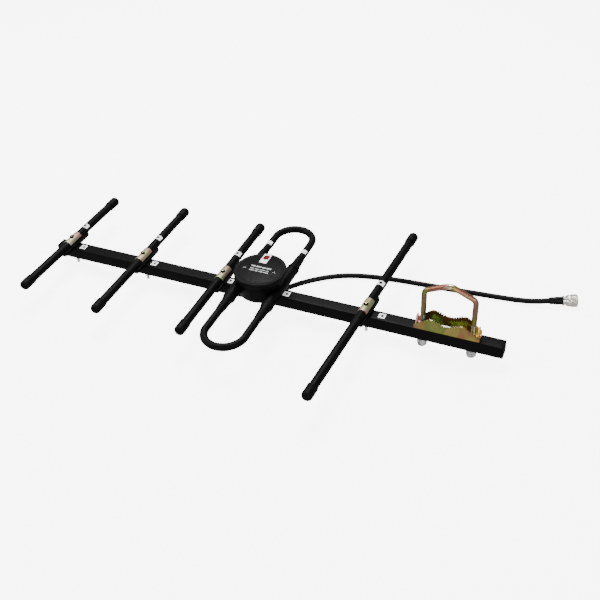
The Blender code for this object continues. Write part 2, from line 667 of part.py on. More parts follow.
def build_cable():
    add_part("cable_gland", build_gland(), "rubber_black", location=CABLE_EXIT)
    add_curve("coax_cable", smooth_route(CABLE_ROUTE, CABLE_POINTS), CABLE_RADIUS, 2, "cable_black")

    heading = math.radians(CONNECTOR_HEADING)
    forward = Vector((math.cos(heading), math.sin(heading), 0.0))
    start = Vector(CABLE_ROUTE[-1])
    start.z = CONNECTOR_AXIS_HEIGHT
    start += forward * GAP
    turn = Matrix.Rotation(heading, 4, "Z") @ Matrix.Rotation(math.radians(90), 4, "Y")

    taper_length, taper_depth = CABLE_SLEEVE_TAPER
    sleeve = turned([(0.0, 0.0), (CABLE_SLEEVE_RADIUS - taper_depth, 0.0),
                     (CABLE_SLEEVE_RADIUS, taper_length), (CABLE_SLEEVE_RADIUS, CABLE_SLEEVE_LENGTH),
                     (0.0, CABLE_SLEEVE_LENGTH)], SEGMENTS_ROD)
    sleeve.transform(turn)
    add_part("cable_sleeve", sleeve, "rubber_black", location=start)
    body_start = start + forward * (CABLE_SLEEVE_LENGTH + GAP)
    body = build_connector()
    body.transform(turn)
    add_part("connector_body", body, "nickel", location=body_start)
    insert = build_insert()
    insert.transform(turn)
    add_part("connector_insert", insert, "ptfe_white",
             location=body_start + forward * (CONNECTOR_LENGTH - SOCKET_DEPTH + GAP))


def build_gland():
    """A strain relief: a spigot in the housing's floor, a flange under it and a bent taper."""
    down = Vector((0.0, 0.0, -1.0))
    side = GLAND_HEADING.cross(down)
    neck_top = -GLAND_FLANGE_THICKNESS
    straight = [(HOUSING_FLOOR, GLAND_SPIGOT_RADIUS), (0.0, GLAND_SPIGOT_RADIUS),
                (0.0, GLAND_FLANGE_RADIUS), (neck_top, GLAND_FLANGE_RADIUS), (neck_top, GLAND_NECK_RADIUS)]
    rings = [ring_at(Vector((0.0, 0.0, z)), side, down.cross(side), radius, SEGMENTS_ROD)
             for z, radius in straight]
    steps = 8
    for step in range(1, steps + 1):
        angle = math.radians(GLAND_BEND_ANGLE * step / steps)
        across = GLAND_HEADING * GLAND_BEND_RADIUS * (1 - math.cos(angle))
        centre = across + Vector((0.0, 0.0, neck_top)) + down * (GLAND_BEND_RADIUS * math.sin(angle))
        ahead = down * math.cos(angle) + GLAND_HEADING * math.sin(angle)
        radius = GLAND_NECK_RADIUS + (GLAND_TIP_RADIUS - GLAND_NECK_RADIUS) * step / steps
        rings.append(ring_at(centre, side, ahead.cross(side), radius, SEGMENTS_ROD))
    return lofted(rings)


def build_connector():
    """A jack: crimp ferrule, knurled shoulder, neck and a thread's outer cylinder."""
    tip = CONNECTOR_LENGTH
    bottom = tip - SOCKET_DEPTH
    shoulder_end = FERRULE_LENGTH + SHOULDER_LENGTH
    neck_end = shoulder_end + NECK_LENGTH
    neck, thread = CONNECTOR_RADIUS - NECK_DEPTH, CONNECTOR_RADIUS - THREAD_DEPTH
    profile = [
        (0.0, 0.0), (FERRULE_RADIUS - EDGE, 0.0), (FERRULE_RADIUS, EDGE),
        (FERRULE_RADIUS, FERRULE_LENGTH), (CONNECTOR_RADIUS - EDGE, FERRULE_LENGTH),
        (CONNECTOR_RADIUS, FERRULE_LENGTH + EDGE), (CONNECTOR_RADIUS, shoulder_end),
        (neck, shoulder_end + EDGE), (neck, neck_end), (thread, neck_end + EDGE), (thread, tip - EDGE),
        (thread - EDGE, tip), (SOCKET_RADIUS + EDGE, tip), (SOCKET_RADIUS, tip - EDGE),
        (SOCKET_RADIUS, bottom), (0.0, bottom),
    ]
    return turned(profile, 24)


def build_insert():
    """The insulator at the socket's bottom with the centre contact standing on it."""
    disc = SOCKET_RADIUS - GAP
    return turned([(0.0, 0.0), (disc, 0.0), (disc, INSERT_THICKNESS), (CONTACT_RADIUS, INSERT_THICKNESS),
                   (CONTACT_RADIUS, CONTACT_TOP - EDGE), (CONTACT_RADIUS - EDGE, CONTACT_TOP),
                   (0.0, CONTACT_TOP)], SEGMENTS_SMALL)


# ---------------------------------------------------------------- mast clamp

def saddle_outline():
    """Half of the wall's top edge, as (distance from the middle, height), from middle to end."""
    run = SADDLE_HUMP_OFFSET - SADDLE_HUMP_HALF - TOOTH_FACE - SADDLE_VALLEY_HALF
    rise = SADDLE_HUMP_HEIGHT - SADDLE_HUMP_DROP - SADDLE_VALLEY_HEIGHT
    points = [(SADDLE_VALLEY_HALF, SADDLE_VALLEY_HEIGHT)]
    for tooth in range(TOOTH_COUNT):
        done = (tooth + 1) / TOOTH_COUNT
        foot = SADDLE_VALLEY_HALF + run * tooth / TOOTH_COUNT + TOOTH_FACE
        tip = SADDLE_VALLEY_HALF + run * done
        base = SADDLE_VALLEY_HEIGHT + rise * done
        points += [(foot, base + TOOTH_DEPTH * 0.4), (tip, base - TOOTH_DEPTH * 0.6)]
    points += [(SADDLE_HUMP_OFFSET - SADDLE_HUMP_HALF, SADDLE_HUMP_HEIGHT - SADDLE_HUMP_DROP),
               (SADDLE_HUMP_OFFSET, SADDLE_HUMP_HEIGHT),
               (SADDLE_HUMP_OFFSET + SADDLE_HUMP_HALF, SADDLE_HUMP_HEIGHT - SADDLE_HUMP_DROP)]
    points += [(SADDLE_HUMP_OFFSET + beyond, height) for beyond, height in SADDLE_SHOULDER]
    points.append((SADDLE_LENGTH / 2, SADDLE_END_HEIGHT))
    return points


def saddle_section(x, height):
    """The channel's outline across the boom, walls leaning outwards as they rise."""
    half = BOOM_SIDE / 2
    lean = SADDLE_FLARE * height / SADDLE_HUMP_HEIGHT
    foot = SADDLE_FLARE * SADDLE_SHEET / SADDLE_HUMP_HEIGHT
    left = [(-half + SADDLE_FOOT, 0.0), (-half, SADDLE_FOOT), (-half - lean, height),
            (-half - lean + SADDLE_SHEET, height), (-half - foot + SADDLE_SHEET, SADDLE_SHEET)]
    right = [(-y, z) for y, z in reversed(left)]
    return [(x, y, z) for y, z in left + right]


def build_clamp(boom):
    middle_x = station(CLAMP_STATION)
    floor = BOOM_TOP + GAP
    right_half = saddle_outline()
    outline = [(-x, z) for x, z in reversed(right_half)] + right_half
    rings = [saddle_section(x, z) for x, z in outline]
    saddle = add_part("clamp_saddle", lofted(rings), "zinc_yellow", location=(middle_x, 0.0, floor))
    for end, sign in (("front", -1), ("rear", 1)):
        at = (middle_x + sign * (SADDLE_LENGTH / 2 - LUG_INSET - SADDLE_SHEET / 2), 0.0, floor)
        boolean(saddle, add_cutter(f"saddle_lug_{end}", build_lug(), location=at), "UNION")

    bolt_path = [(middle_x + x, 0.0, z) for x, z in ubolt_path()]
    add_curve("u_bolt", bolt_path, UBOLT_RADIUS, 3, "zinc_yellow")
    for end, sign in (("front", -1), ("rear", 1)):
        leg_x = middle_x + sign * UBOLT_SPACING / 2
        bore = cylinder(UBOLT_RADIUS + BOLT_CLEARANCE, -2 * BOOM_SIDE, 2 * BOOM_SIDE)
        cutter = add_cutter(f"leg_bore_{end}", bore, location=(leg_x, 0.0, BOOM_BOTTOM))
        boolean(saddle, cutter)
        boolean(boom, cutter)
        washer_top = BOOM_BOTTOM - GAP
        washer = turned([(UBOLT_RADIUS + BOLT_CLEARANCE, -WASHER_THICKNESS),
                         (WASHER_RADIUS, -WASHER_THICKNESS), (WASHER_RADIUS, 0.0),
                         (UBOLT_RADIUS + BOLT_CLEARANCE, 0.0)], 24)
        add_part(f"clamp_washer_{end}", washer, "steel_bright", location=(leg_x, 0.0, washer_top))
        nut_top = washer_top - WASHER_THICKNESS - GAP
        hexagon = hexagon_prism(CLAMP_NUT_ACROSS_FLATS, -CLAMP_NUT_HEIGHT, -CLAMP_NUT_FLANGE / 2,
                                CLAMP_NUT_CHAMFER)
        hexagon.transform(Matrix.Rotation(math.radians(CLAMP_NUT_TURN), 4, "Z"))
        nut = add_part(f"clamp_nut_{end}", hexagon, "steel_bright", location=(leg_x, 0.0, nut_top))
        for piece, shape in (("flange", build_flange()), ("collar", build_collar())):
            tool = add_cutter(f"clamp_nut_{end}_{piece}", shape, location=(leg_x, 0.0, nut_top))
            boolean(nut, tool, "UNION")
        boolean(nut, cutter)


def build_lug():
    """A sheet lug that bulges twice, standing across the saddle's end."""
    lobe = LUG_WIDTH / 2
    waist = lobe - LUG_WAIST
    upper = LUG_HEIGHT - lobe
    waist_height = upper - lobe * 0.8
    lower = waist_height - lobe * 0.8
    right = [(waist, SADDLE_SHEET * 0.5), (lobe, lower), (waist, waist_height)]
    outline = right + list(arc((0.0, upper), lobe, 0, 180, 8))
    outline += [(-across, height) for across, height in reversed(right)]
    return extruded(outline, SADDLE_SHEET, "X")


def build_flange():
    """The washer-like flange on the upper face of a clamp nut."""
    rim = CLAMP_NUT_FLANGE_RADIUS
    return turned([(0.0, -CLAMP_NUT_FLANGE), (rim - CLAMP_NUT_CHAMFER, -CLAMP_NUT_FLANGE),
                   (rim, -CLAMP_NUT_FLANGE + CLAMP_NUT_CHAMFER), (rim, 0.0), (0.0, 0.0)], 24)


def build_collar():
    """The round nylon-filled collar on the lower end of a lock nut."""
    low = -CLAMP_NUT_HEIGHT
    end = low - CLAMP_NUT_COLLAR
    rim = CLAMP_NUT_COLLAR_RADIUS
    return turned([(0.0, low + CLAMP_NUT_COLLAR_EDGE), (rim, low + CLAMP_NUT_COLLAR_EDGE),
                   (rim, end + CLAMP_NUT_COLLAR_EDGE), (rim - CLAMP_NUT_COLLAR_EDGE, end), (0.0, end)],
                  24)


def filleted(corners, radii, steps):
    """A polyline through flat corners with each inner corner rounded to its radius."""
    points = [corners[0]]
    for before, corner, after, radius in zip(corners, corners[1:], corners[2:], radii):
        here = Vector(corner)
        incoming = (Vector(before) - here).normalized()
        outgoing = (Vector(after) - here).normalized()
        half_angle = incoming.angle(outgoing) / 2
        centre = here + (incoming + outgoing).normalized() * (radius / math.sin(half_angle))
        start = (here + incoming * (radius / math.tan(half_angle)) - centre).normalized()
        end = (here + outgoing * (radius / math.tan(half_angle)) - centre).normalized()
        for step in range(steps + 1):
            points.append(tuple(centre + start.slerp(end, step / steps) * radius))
    points.append(corners[-1])
    return points


def ubolt_path():
    """The bolt's centre line in the XZ plane: leg, shoulder, roof-shaped crown, shoulder, leg."""
    half = UBOLT_SPACING / 2
    corners = [(-half, 0.0), (-half, UBOLT_SHOULDER_HEIGHT), (0.0, UBOLT_APEX_HEIGHT),
               (half, UBOLT_SHOULDER_HEIGHT), (half, 0.0)]
    return filleted(corners, [UBOLT_SHOULDER_BEND, UBOLT_APEX_BEND, UBOLT_SHOULDER_BEND], 7)


def main():
    clear_scene()
    boom = build_boom()
    for name in ELEMENTS:
        build_element(name, boom)
    build_dipole()
    build_housing(boom)
    build_cable()
    build_clamp(boom)


main()
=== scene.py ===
"""Looks of a five-element UHF Yagi antenna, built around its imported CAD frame.

Most pieces are finer stand-ins for one CAD node each, in metres, in the CAD's own frame: the boom runs
along X with its clamp end at +X, the elements lie along Y, and +Z is up. Places come from the
frame's boxes, joints and vertices; the profiles' radii and thicknesses are named below.
"""

import json
import math

import bmesh
import bpy
from mathutils import Matrix, Vector


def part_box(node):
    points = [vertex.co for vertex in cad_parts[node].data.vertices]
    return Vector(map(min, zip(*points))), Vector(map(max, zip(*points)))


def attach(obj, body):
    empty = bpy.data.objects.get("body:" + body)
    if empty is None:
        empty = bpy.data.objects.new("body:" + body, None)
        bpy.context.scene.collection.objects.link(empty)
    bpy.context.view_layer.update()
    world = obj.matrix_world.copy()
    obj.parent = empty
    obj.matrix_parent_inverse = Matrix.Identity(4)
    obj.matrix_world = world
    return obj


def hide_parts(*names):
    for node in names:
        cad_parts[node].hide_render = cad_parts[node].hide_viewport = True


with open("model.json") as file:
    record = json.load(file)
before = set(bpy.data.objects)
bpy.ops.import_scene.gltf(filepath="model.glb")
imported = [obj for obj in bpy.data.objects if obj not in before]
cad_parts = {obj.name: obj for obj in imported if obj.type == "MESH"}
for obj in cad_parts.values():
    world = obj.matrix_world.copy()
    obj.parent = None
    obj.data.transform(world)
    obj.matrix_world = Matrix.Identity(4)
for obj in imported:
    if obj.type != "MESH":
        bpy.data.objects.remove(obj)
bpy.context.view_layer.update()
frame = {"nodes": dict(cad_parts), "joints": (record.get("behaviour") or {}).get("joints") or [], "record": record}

BODY_OF = {node: body for body, nodes in frame["record"]["behaviour"]["bodies"].items()
           for node in nodes}
SLOT_OF = {row["node"]: row["material_slot"] for row in frame["record"]["subparts"]}
JOINTS = {joint["name"]: joint for joint in frame["joints"]}
MATERIALS = {}

# How much fuller the dark parts are drawn than in the CAD. The U-bolt's holes are opened to match.
COAT = 0.0006
BOOM_COAT = 0.00025
CABLE_COAT = 0.0005
UBOLT_COAT = 0.0003

# Sizes of the CAD, and finer ones that only the looks have.
GAP = 0.0003
PAST = 0.01                  # how far a cutter reaches past a face
BOOM_CORNER = 0.0012
BOOM_WALL = 0.0013
PLUG_FLANGE = 0.0031
PLUG_SPIGOT = 0.009
ROD_RADIUS = 0.0051
CAP_RADIUS = 0.00605
CAP_LENGTH = 0.0200
CAP_DOME = 0.0056
CAP_FLOOR = 0.0032
HOLDER_LENGTH = 0.0560
HOLDER_WIDTH = 0.0146
HOLDER_HEIGHT = 0.0055
HOLDER_CORNER_LENGTH = 0.0050
HOLDER_CORNER_WIDTH = 0.0013
STRAP_LENGTH = 0.0250
STRAP_THICKNESS = 0.0007
STRAP_EDGE_ANGLE = 12
SCREW_RADIUS = 0.0020
SCREW_PITCH = 0.0007
SCREW_THREAD_DEPTH = 0.00035
SCREW_TIP_TAPER = 0.0004
SCREW_HEAD_RADIUS = 0.0031
SCREW_HEAD_HEIGHT = 0.0022
SCREW_HEAD_BEVEL = 0.0007
SOCKET_ACROSS_CORNERS = 0.0026
NUT_ACROSS_FLATS = 0.0070
DIPOLE_ARM_OFFSET = 0.0260
DIPOLE_RADIUS = 0.00425
DIPOLE_FEED_GAP = 0.0160
HOUSING_RADIUS = 0.0300
HOUSING_WALL = 0.0024
HOUSING_FLOOR = 0.0025
HOUSING_HEIGHT = 0.0242
PORT_RADIUS = 0.0075
PORT_REACH = 0.0370
LID_RADIUS = 0.0336
LID_THICKNESS = 0.0054
LID_LIP = 0.0016
LID_ROUNDING = 0.0020
BOOT_STEPS = [               # (distance beyond the port, radius) along a boot
    (0.0, 0.0077), (0.0032, 0.0077), (0.0044, 0.0070), (0.0086, 0.0063), (0.0118, 0.0055),
    (0.0212, 0.0055), (0.0222, 0.0050), (0.0262, 0.0049), (0.0275, 0.0048),
]
SADDLE_SHEET = 0.0018
SADDLE_LENGTH = 0.0780
SADDLE_FLARE = 0.0020
SADDLE_END_HEIGHT = 0.0055
SADDLE_HUMP_HEIGHT = 0.0192
SADDLE_VALLEY_HEIGHT = 0.0142
SADDLE_HUMP_OFFSET = 0.0186
SADDLE_VALLEY_HALF = 0.0050
SADDLE_HUMP = [              # (distance beyond the hump, drop below it)
    (-0.0024, 0.0003), (-0.0010, 0.0001), (0.0, 0.0), (0.0012, 0.0001), (0.0026, 0.0006),
    (0.0048, 0.0019),
]
SADDLE_SHOULDER = [(0.0074, 0.0155), (0.0119, 0.0115), (0.0164, 0.0085)]
SADDLE_SHADE_BAND = 0.0045         # painted shade: a darker band under the far wall's toothed edge
TOOTH_COUNT = 4
TOOTH_DEPTH = 0.0024
LUG_WIDTH = 0.0088
LUG_HEIGHT = 0.0168
LUG_INSET = 0.0012
UBOLT_SPACING = 0.0600
UBOLT_RADIUS = 0.0030
UBOLT_PITCH = 0.0010
UBOLT_THREAD_DEPTH = 0.0005
UBOLT_THREAD_FADE = 0.0015
UBOLT_THREAD_TOP = 0.0500
UBOLT_SHOULDER_HEIGHT = 0.0840
UBOLT_APEX_HEIGHT = 0.0980
UBOLT_SHOULDER_BEND = 0.0075
UBOLT_APEX_BEND = 0.0140
CLAMP_NUT_ACROSS_FLATS = 0.0110
CLAMP_NUT_HEIGHT = 0.0096
CLAMP_NUT_FLANGE_RADIUS = 0.0067
CLAMP_NUT_FLANGE = 0.0016
CLAMP_NUT_TURN = 25
CLAMP_NUT_COLLAR_RADIUS = 0.0052
WASHER_RADIUS = 0.0064

# The coaxial tail, with the same route as the CAD's.
CABLE_RADIUS = 0.0030
CABLE_ROUTE = [
    (0.0177, 0.0210, 0.0191), (0.0187, 0.0273, 0.0128), (0.0198, 0.0352, 0.0080),
    (0.0220, 0.0436, 0.0049), (0.0274, 0.0525, 0.0035), (0.0348, 0.0604, 0.0032),
    (0.0432, 0.0680, 0.0032), (0.0520, 0.0749, 0.0032), (0.0610, 0.0812, 0.0032),
    (0.0706, 0.0865, 0.0032), (0.0802, 0.0911, 0.0032), (0.0903, 0.0949, 0.0032),
    (0.1007, 0.0979, 0.0032), (0.1218, 0.1021, 0.0032), (0.1432, 0.1048, 0.0032),
    (0.1649, 0.1066, 0.0032), (0.1864, 0.1079, 0.0032), (0.2227, 0.1101, 0.0032),
    (0.2593, 0.1127, 0.0032), (0.2795, 0.1141, 0.0033), (0.2996, 0.1153, 0.0038),
    (0.3175, 0.1165, 0.0052), (0.3320, 0.1185, 0.0071), (0.3434, 0.1222, 0.0082),
]
CONNECTOR_AXIS_HEIGHT = 0.0082
CONNECTOR_HEADING = 20.0
CABLE_SLEEVE_LENGTH = 0.0155
CABLE_SLEEVE_RADIUS = 0.0045
FERRULE_RADIUS = 0.0064
FERRULE_LENGTH = 0.0062
CONNECTOR_RADIUS = 0.0080
CONNECTOR_LENGTH = 0.0178
CONNECTOR_PITCH = 0.00106
CONNECTOR_THREAD_DEPTH = 0.0005
CONNECTOR_THREAD_STEP = 0.00025
KNURLS = 30
KNURL_DEPTH = 0.00025
SOCKET_RADIUS = 0.0043
SOCKET_DEPTH = 0.0090
GLAND_TOP = (0.0170, 0.0175)
GLAND_HEADING = (0.20, 0.98, 0.0)
GLAND_BEND_RADIUS = 0.0140
GLAND_BEND_ANGLE = 40

# Labels and print.
LABEL_SUNK = 0.00005
PAPER_THICKNESS = 0.00012
INK_THICKNESS = 0.00008
ROD_LABELS = {"director_1": 0.0310, "director_2": 0.0396, "director_3": 0.0424, "reflector": 0.0452}
BOOM_LABELS = (-0.2735, -0.1575, -0.0424, 0.0380, 0.1647)
LID_PRINT = [                # (distance from the lid's middle, height, widths) of rows of bars
    (0.0035, 0.0027, (6.0, 7.0, 4.6, 6.4)), (-0.0016, 0.0015, (5.0, 6.0, 7.0, 4.4)),
    (-0.0052, 0.0014, (7.0, 4.0, 5.4, 6.6)),
]
LID_BAR_GAP = 0.0011

CAMERA_PLACE = (0.3996, -0.6951, 0.6627)
CAMERA_ANGLES = (26.30, 39.42, 4.33)          # azimuth, elevation and roll
CAMERA_LENS = 47.84
FLOOR_HALF = 6.0
FLOOR_GLOW = 6.0
ROOM_ABOVE = 0.22            # what shiny parts see over the horizon
ROOM_BELOW = 0.60            # and below it, where the pale paper lies
SOFTBOXES = [                # name, place, aim, size and power
    ("top", (-0.3, 0.7, 1.7), (0.0, 0.0, 0.0), 1.0, 55.0),
    ("left", (-1.5, -0.5, 1.0), (0.0, 0.0, 0.0), 0.7, 16.0),
    ("right", (1.4, -1.0, 0.9), (0.1, 0.0, 0.0), 0.6, 14.0),
    ("low", (0.3, -1.5, 0.25), (0.1, 0.0, 0.0), 0.5, 5.0),
]
BLACK_GLOSS = 0.07           # specular level of the black parts
WHITE = (1.0, 1.0, 1.0, 1.0)

FINEST = 96                  # facets round the housing
FINE = 64                    # facets round a large turned piece
ROUND = 40                   # facets round a rod or a bolt


# ---------------------------------------------------------------- camera, floor and light

def linked(name, data):
    made = bpy.data.objects.new(name, data)
    bpy.context.scene.collection.objects.link(made)
    return made


def add_camera():
    azimuth, elevation, roll = (math.radians(angle) for angle in CAMERA_ANGLES)
    back = Vector((math.sin(azimuth) * math.cos(elevation), -math.cos(azimuth) * math.cos(elevation),
                   math.sin(elevation)))
    level_right = Vector((math.cos(azimuth), math.sin(azimuth), 0.0))
    level_up = back.cross(level_right)
    right = level_right * math.cos(roll) - level_up * math.sin(roll)
    up = level_up * math.cos(roll) + level_right * math.sin(roll)
    camera = linked("camera", bpy.data.cameras.new("camera"))
    camera.data.lens = CAMERA_LENS
    camera.data.sensor_width = 36.0
    camera.data.clip_start = 0.01
    camera.matrix_world = at(*CAMERA_PLACE) @ Matrix((right, up, back)).transposed().to_4x4()
    bpy.context.scene.camera = camera


def add_stage():
    floor_mesh = bpy.data.meshes.new("floor")
    corners = [(x * FLOOR_HALF, y * FLOOR_HALF, 0) for x, y in ((-1, -1), (1, -1), (1, 1), (-1, 1))]
    floor_mesh.from_pydata(corners, [], [(0, 1, 2, 3)])
    floor = linked("floor", floor_mesh)
    paint = bpy.data.materials.new("floor_paper")
    paint.use_nodes = True
    set_inputs(paint.node_tree.nodes["Principled BSDF"], {
        "Base Color": (0.90, 0.90, 0.90, 1.0), "Roughness": 0.9, "Specular IOR Level": 0.1,
        "Emission Color": WHITE, "Emission Strength": FLOOR_GLOW})
    floor_mesh.materials.append(paint)
    floor.visible_diffuse = False
    floor.visible_glossy = False
    add_world()
    for name, place, aim, size, power in SOFTBOXES:
        light = linked("softbox_" + name, bpy.data.lights.new("softbox_" + name, "AREA"))
        light.data.size = size
        light.data.energy = power
        light.location = place
        light.rotation_euler = (Vector(place) - Vector(aim)).to_track_quat("Z", "Y").to_euler()


def add_world():
    """An even room over pale paper for the object to reflect, seen by the camera as a white backdrop."""
    world = bpy.data.worlds.new("studio")
    world.use_nodes = True
    tree = world.node_tree
    direction = new_node(tree, "TexCoord", {})
    parts = new_node(tree, "SeparateXYZ", {"Vector": direction.outputs["Generated"]})
    room = new_node(tree, "MapRange", {"Value": parts.outputs["Z"], "From Min": -0.2, "From Max": 0.2,
                                       "To Min": ROOM_BELOW, "To Max": ROOM_ABOVE})
    seen = new_node(tree, "LightPath", {})
    strength = new_node(tree, "MapRange", {"Value": seen.outputs["Is Camera Ray"],
                                           "To Min": room.outputs["Result"], "To Max": FLOOR_GLOW})
    set_inputs(tree.nodes["Background"], {"Strength": strength.outputs["Result"], "Color": WHITE})
    bpy.context.scene.world = world


# ---------------------------------------------------------------- materials

def set_inputs(node, inputs):
    """Gives a node's inputs their values. An output of another node is linked instead."""
    for name, value in inputs.items():
        if isinstance(value, bpy.types.NodeSocket):
            node.id_data.links.new(value, node.inputs[name])
        else:
            node.inputs[name].default_value = value
    return node


def new_node(tree, kind, inputs):
    return set_inputs(tree.nodes.new("ShaderNode" + kind), inputs)


class Nodes:
    """The shader nodes of one new material."""

    def __init__(self, name, inputs):
        self.material = bpy.data.materials.new(name)
        self.material.use_nodes = True
        self.tree = self.material.node_tree
        self.shader = set_inputs(self.tree.nodes["Principled BSDF"], inputs)
        self.place = new_node(self.tree, "TexCoord", {}).outputs["Object"]

    def noise(self, scale, detail=3.0, stretch=(1.0, 1.0, 1.0), distortion=0.0):
        mapping = new_node(self.tree, "Mapping", {"Vector": self.place, "Scale": stretch})
        return new_node(self.tree, "TexNoise", {
            "Vector": mapping.outputs["Vector"], "Scale": scale, "Detail": detail,
            "Distortion": distortion}).outputs["Fac"]

    def ramp(self, value, stops):
        made = new_node(self.tree, "ValToRGB", {"Fac": value})
        elements = made.color_ramp.elements
        while len(elements) < len(stops):
            elements.new(0.5)
        for element, (position, colour) in zip(elements, stops):
            element.position = position
            element.color = (*colour, 1.0)
        return made.outputs["Color"]

    def rescaled(self, value, low, high, new_low, new_high):
        return new_node(self.tree, "MapRange", {"Value": value, "From Min": low, "From Max": high,
                                                "To Min": new_low, "To Max": new_high}).outputs["Result"]

    def drifting(self, axis, low, high, wander):
        """A place along an axis as 0..1, made uneven by a noise."""
        parts = new_node(self.tree, "SeparateXYZ", {"Vector": self.place})
        along = self.rescaled(parts.outputs[axis], low, high, 0.0, 1.0)
        uneven = self.rescaled(wander, 0.3, 0.7, -0.28, 0.28)
        return new_node(self.tree, "Math", {0: along, 1: uneven}).outputs[0]

    def finish(self, colour, gloss_noise, smoothest, roughest, grain_noise, grain_depth):
        """Sets the colour, a roughness spread by one noise and a bump made by another."""
        bump = new_node(self.tree, "Bump", {"Height": grain_noise, "Strength": 1.0,
                                            "Distance": grain_depth})
        set_inputs(self.shader, {
            "Base Color": colour, "Normal": bump.outputs["Normal"],
            "Roughness": self.rescaled(gloss_noise, 0.3, 0.7, smoothest, roughest)})
        return self.material


def tinted(colour, factor):
    return tuple(min(1.0, channel * factor) for channel in colour)


def plain_surface(name, colour, roughness, grain, grain_depth, variation=0.25, gloss=0.5):
    """A moulded or coated surface: mottled colour, uneven gloss and a fine grain."""
    nodes = Nodes(name, {"Specular IOR Level": gloss})
    stops = [(0.30, tinted(colour, 1.0 - variation)), (0.55, colour),
             (0.75, tinted(colour, 1.0 + variation))]
    return nodes.finish(nodes.ramp(nodes.noise(90.0, 4.0), stops), nodes.noise(240.0, 5.0),
                        roughness - 0.07, roughness + 0.09, nodes.noise(grain, 3.0), grain_depth)


def glowing_white_paper(name):
    """Sticker paper, with a faint painted glow that makes it read whiter."""
    paper = plain_surface(name, (0.93, 0.93, 0.92), 0.55, 800.0, 0.00002, 0.04)
    # Painted light: the paper glows faintly though it is no lamp.
    set_inputs(paper.node_tree.nodes["Principled BSDF"],
               {"Emission Color": WHITE, "Emission Strength": 0.5})
    return paper


def black_surface(name, level, roughness, grain, grain_depth, gloss=BLACK_GLOSS):
    """Black plastic, rubber or coating, a trace bluish."""
    return plain_surface(name, (level, level, level * 1.05), roughness, grain, grain_depth, gloss=gloss)


def scuffed_coat(name, colour, roughness):
    """Black coating on drawn tube: faint streaks along its length, orange peel and tiny scuffs."""
    nodes = Nodes(name, {"Specular IOR Level": BLACK_GLOSS})
    worn = nodes.ramp(nodes.noise(150.0, 8.0, distortion=1.5),
                      [(0.0, colour), (0.66, colour), (0.74, tinted(colour, 2.2))])
    return nodes.finish(worn, nodes.noise(600.0, 3.0, (0.05, 1.0, 1.0)), roughness - 0.06,
                        roughness + 0.08, nodes.noise(1500.0, 2.0), 0.00003)


def zinc_passivate(name, along, scale, roughness, metallic, stops):
    """Yellow zinc plating, whose film changes colour along one axis, unevenly.

    along is (axis, low, high): the stops run from low to high.
    """
    nodes = Nodes(name, {"Metallic": metallic})
    drift = nodes.drifting(*along, nodes.noise(scale, 2.5, (1.0, 1.4, 0.8), 0.8))
    return nodes.finish(nodes.ramp(drift, stops), nodes.noise(500.0, 5.0), roughness - 0.08,
                        roughness + 0.12, nodes.noise(900.0, 4.0, (1.0, 1.0, 0.3)), 0.00002)


def bright_metal(name, colour, roughness, staining=0.2):
    """Plated steel or brass with fine turning marks and faint stains."""
    nodes = Nodes(name, {"Metallic": 1.0})
    stained = nodes.ramp(nodes.noise(300.0, 4.0),
                         [(0.38, tinted(colour, 1.0 - staining)), (0.58, colour)])
    return nodes.finish(stained, nodes.noise(1200.0, 3.0, (1.0, 1.0, 6.0)), roughness - 0.06,
                        roughness + 0.1, nodes.noise(2500.0, 2.0, (0.3, 0.3, 3.0)), 0.00001)


ROSE, PINK, RUST = (0.42, 0.18, 0.12), (0.90, 0.46, 0.40), (0.46, 0.25, 0.08)
GREEN, LEAF, OLIVE = (0.20, 0.31, 0.07), tinted((0.20, 0.31, 0.07), 1.5), (0.36, 0.33, 0.09)
# The cream is the colour of painted highlights: on the saddle's near top edge and at the U-bolt's apex.
GOLD, HIGHLIGHT_CREAM, PALE = (0.52, 0.37, 0.11), (0.92, 0.88, 0.66), (0.44, 0.46, 0.36)
BROWN = (0.34, 0.19, 0.07)
UMBER = tinted(BROWN, 0.4)
SAGE, SAND, MAUVE = (0.33, 0.36, 0.18), (0.38, 0.33, 0.22), (0.44, 0.28, 0.24)
STRAP_FILMS = {              # from a strap's end at -Y to its end at +Y
    "director_1": [(0.05, PALE), (0.30, SAGE), (0.50, SAND), (0.70, MAUVE), (0.95, MAUVE)],
    "director_2": [(0.05, SAND), (0.45, SAGE), (0.75, MAUVE)],
    "director_3": [(0.10, SAGE), (0.35, SAND), (0.60, MAUVE), (0.95, SAND)],
    "reflector": [(0.05, MAUVE), (0.30, SAGE), (0.60, SAGE), (0.90, SAND)],
}
BLACKS = {                   # level, roughness, grain's scale and depth, gloss if not the usual
    "rod": (0.0025, 0.48, 1100.0, 0.00005),
    "plug": (0.0025, 0.45, 900.0, 0.00004),
    "holder": (0.0022, 0.50, 1000.0, 0.00005),
    "cap": (0.0028, 0.52, 800.0, 0.00006),
    "boot": (0.0028, 0.52, 650.0, 0.00008),
    "housing": (0.0030, 0.42, 1200.0, 0.00004),
    "lid": (0.0042, 0.50, 1400.0, 0.00005, 0.08),
    "gasket": (0.002, 0.70, 900.0, 0.00004),
    "cable": (0.0035, 0.46, 500.0, 0.00003, 0.12),
    "heat_shrink": (0.0035, 0.40, 300.0, 0.00006, 0.12),
    # Painted shade: the screw heads' sides and bevel drawn near black.
    "head_rim": (0.012, 0.45, 900.0, 0.00002),
}
METALS = {                   # colour, roughness, staining if not the usual
    "steel": ((0.90, 0.90, 0.89), 0.26, 0.6),
    # Painted highlight: the screw heads' top faces drawn as bright pale-gold metal.
    "head_face": ((0.80, 0.76, 0.46), 0.40),
    "thread": ((0.22, 0.21, 0.14), 0.36),
    "nickel": ((0.86, 0.82, 0.77), 0.32, 0.12),
    "copper": ((0.78, 0.42, 0.26), 0.32),
}
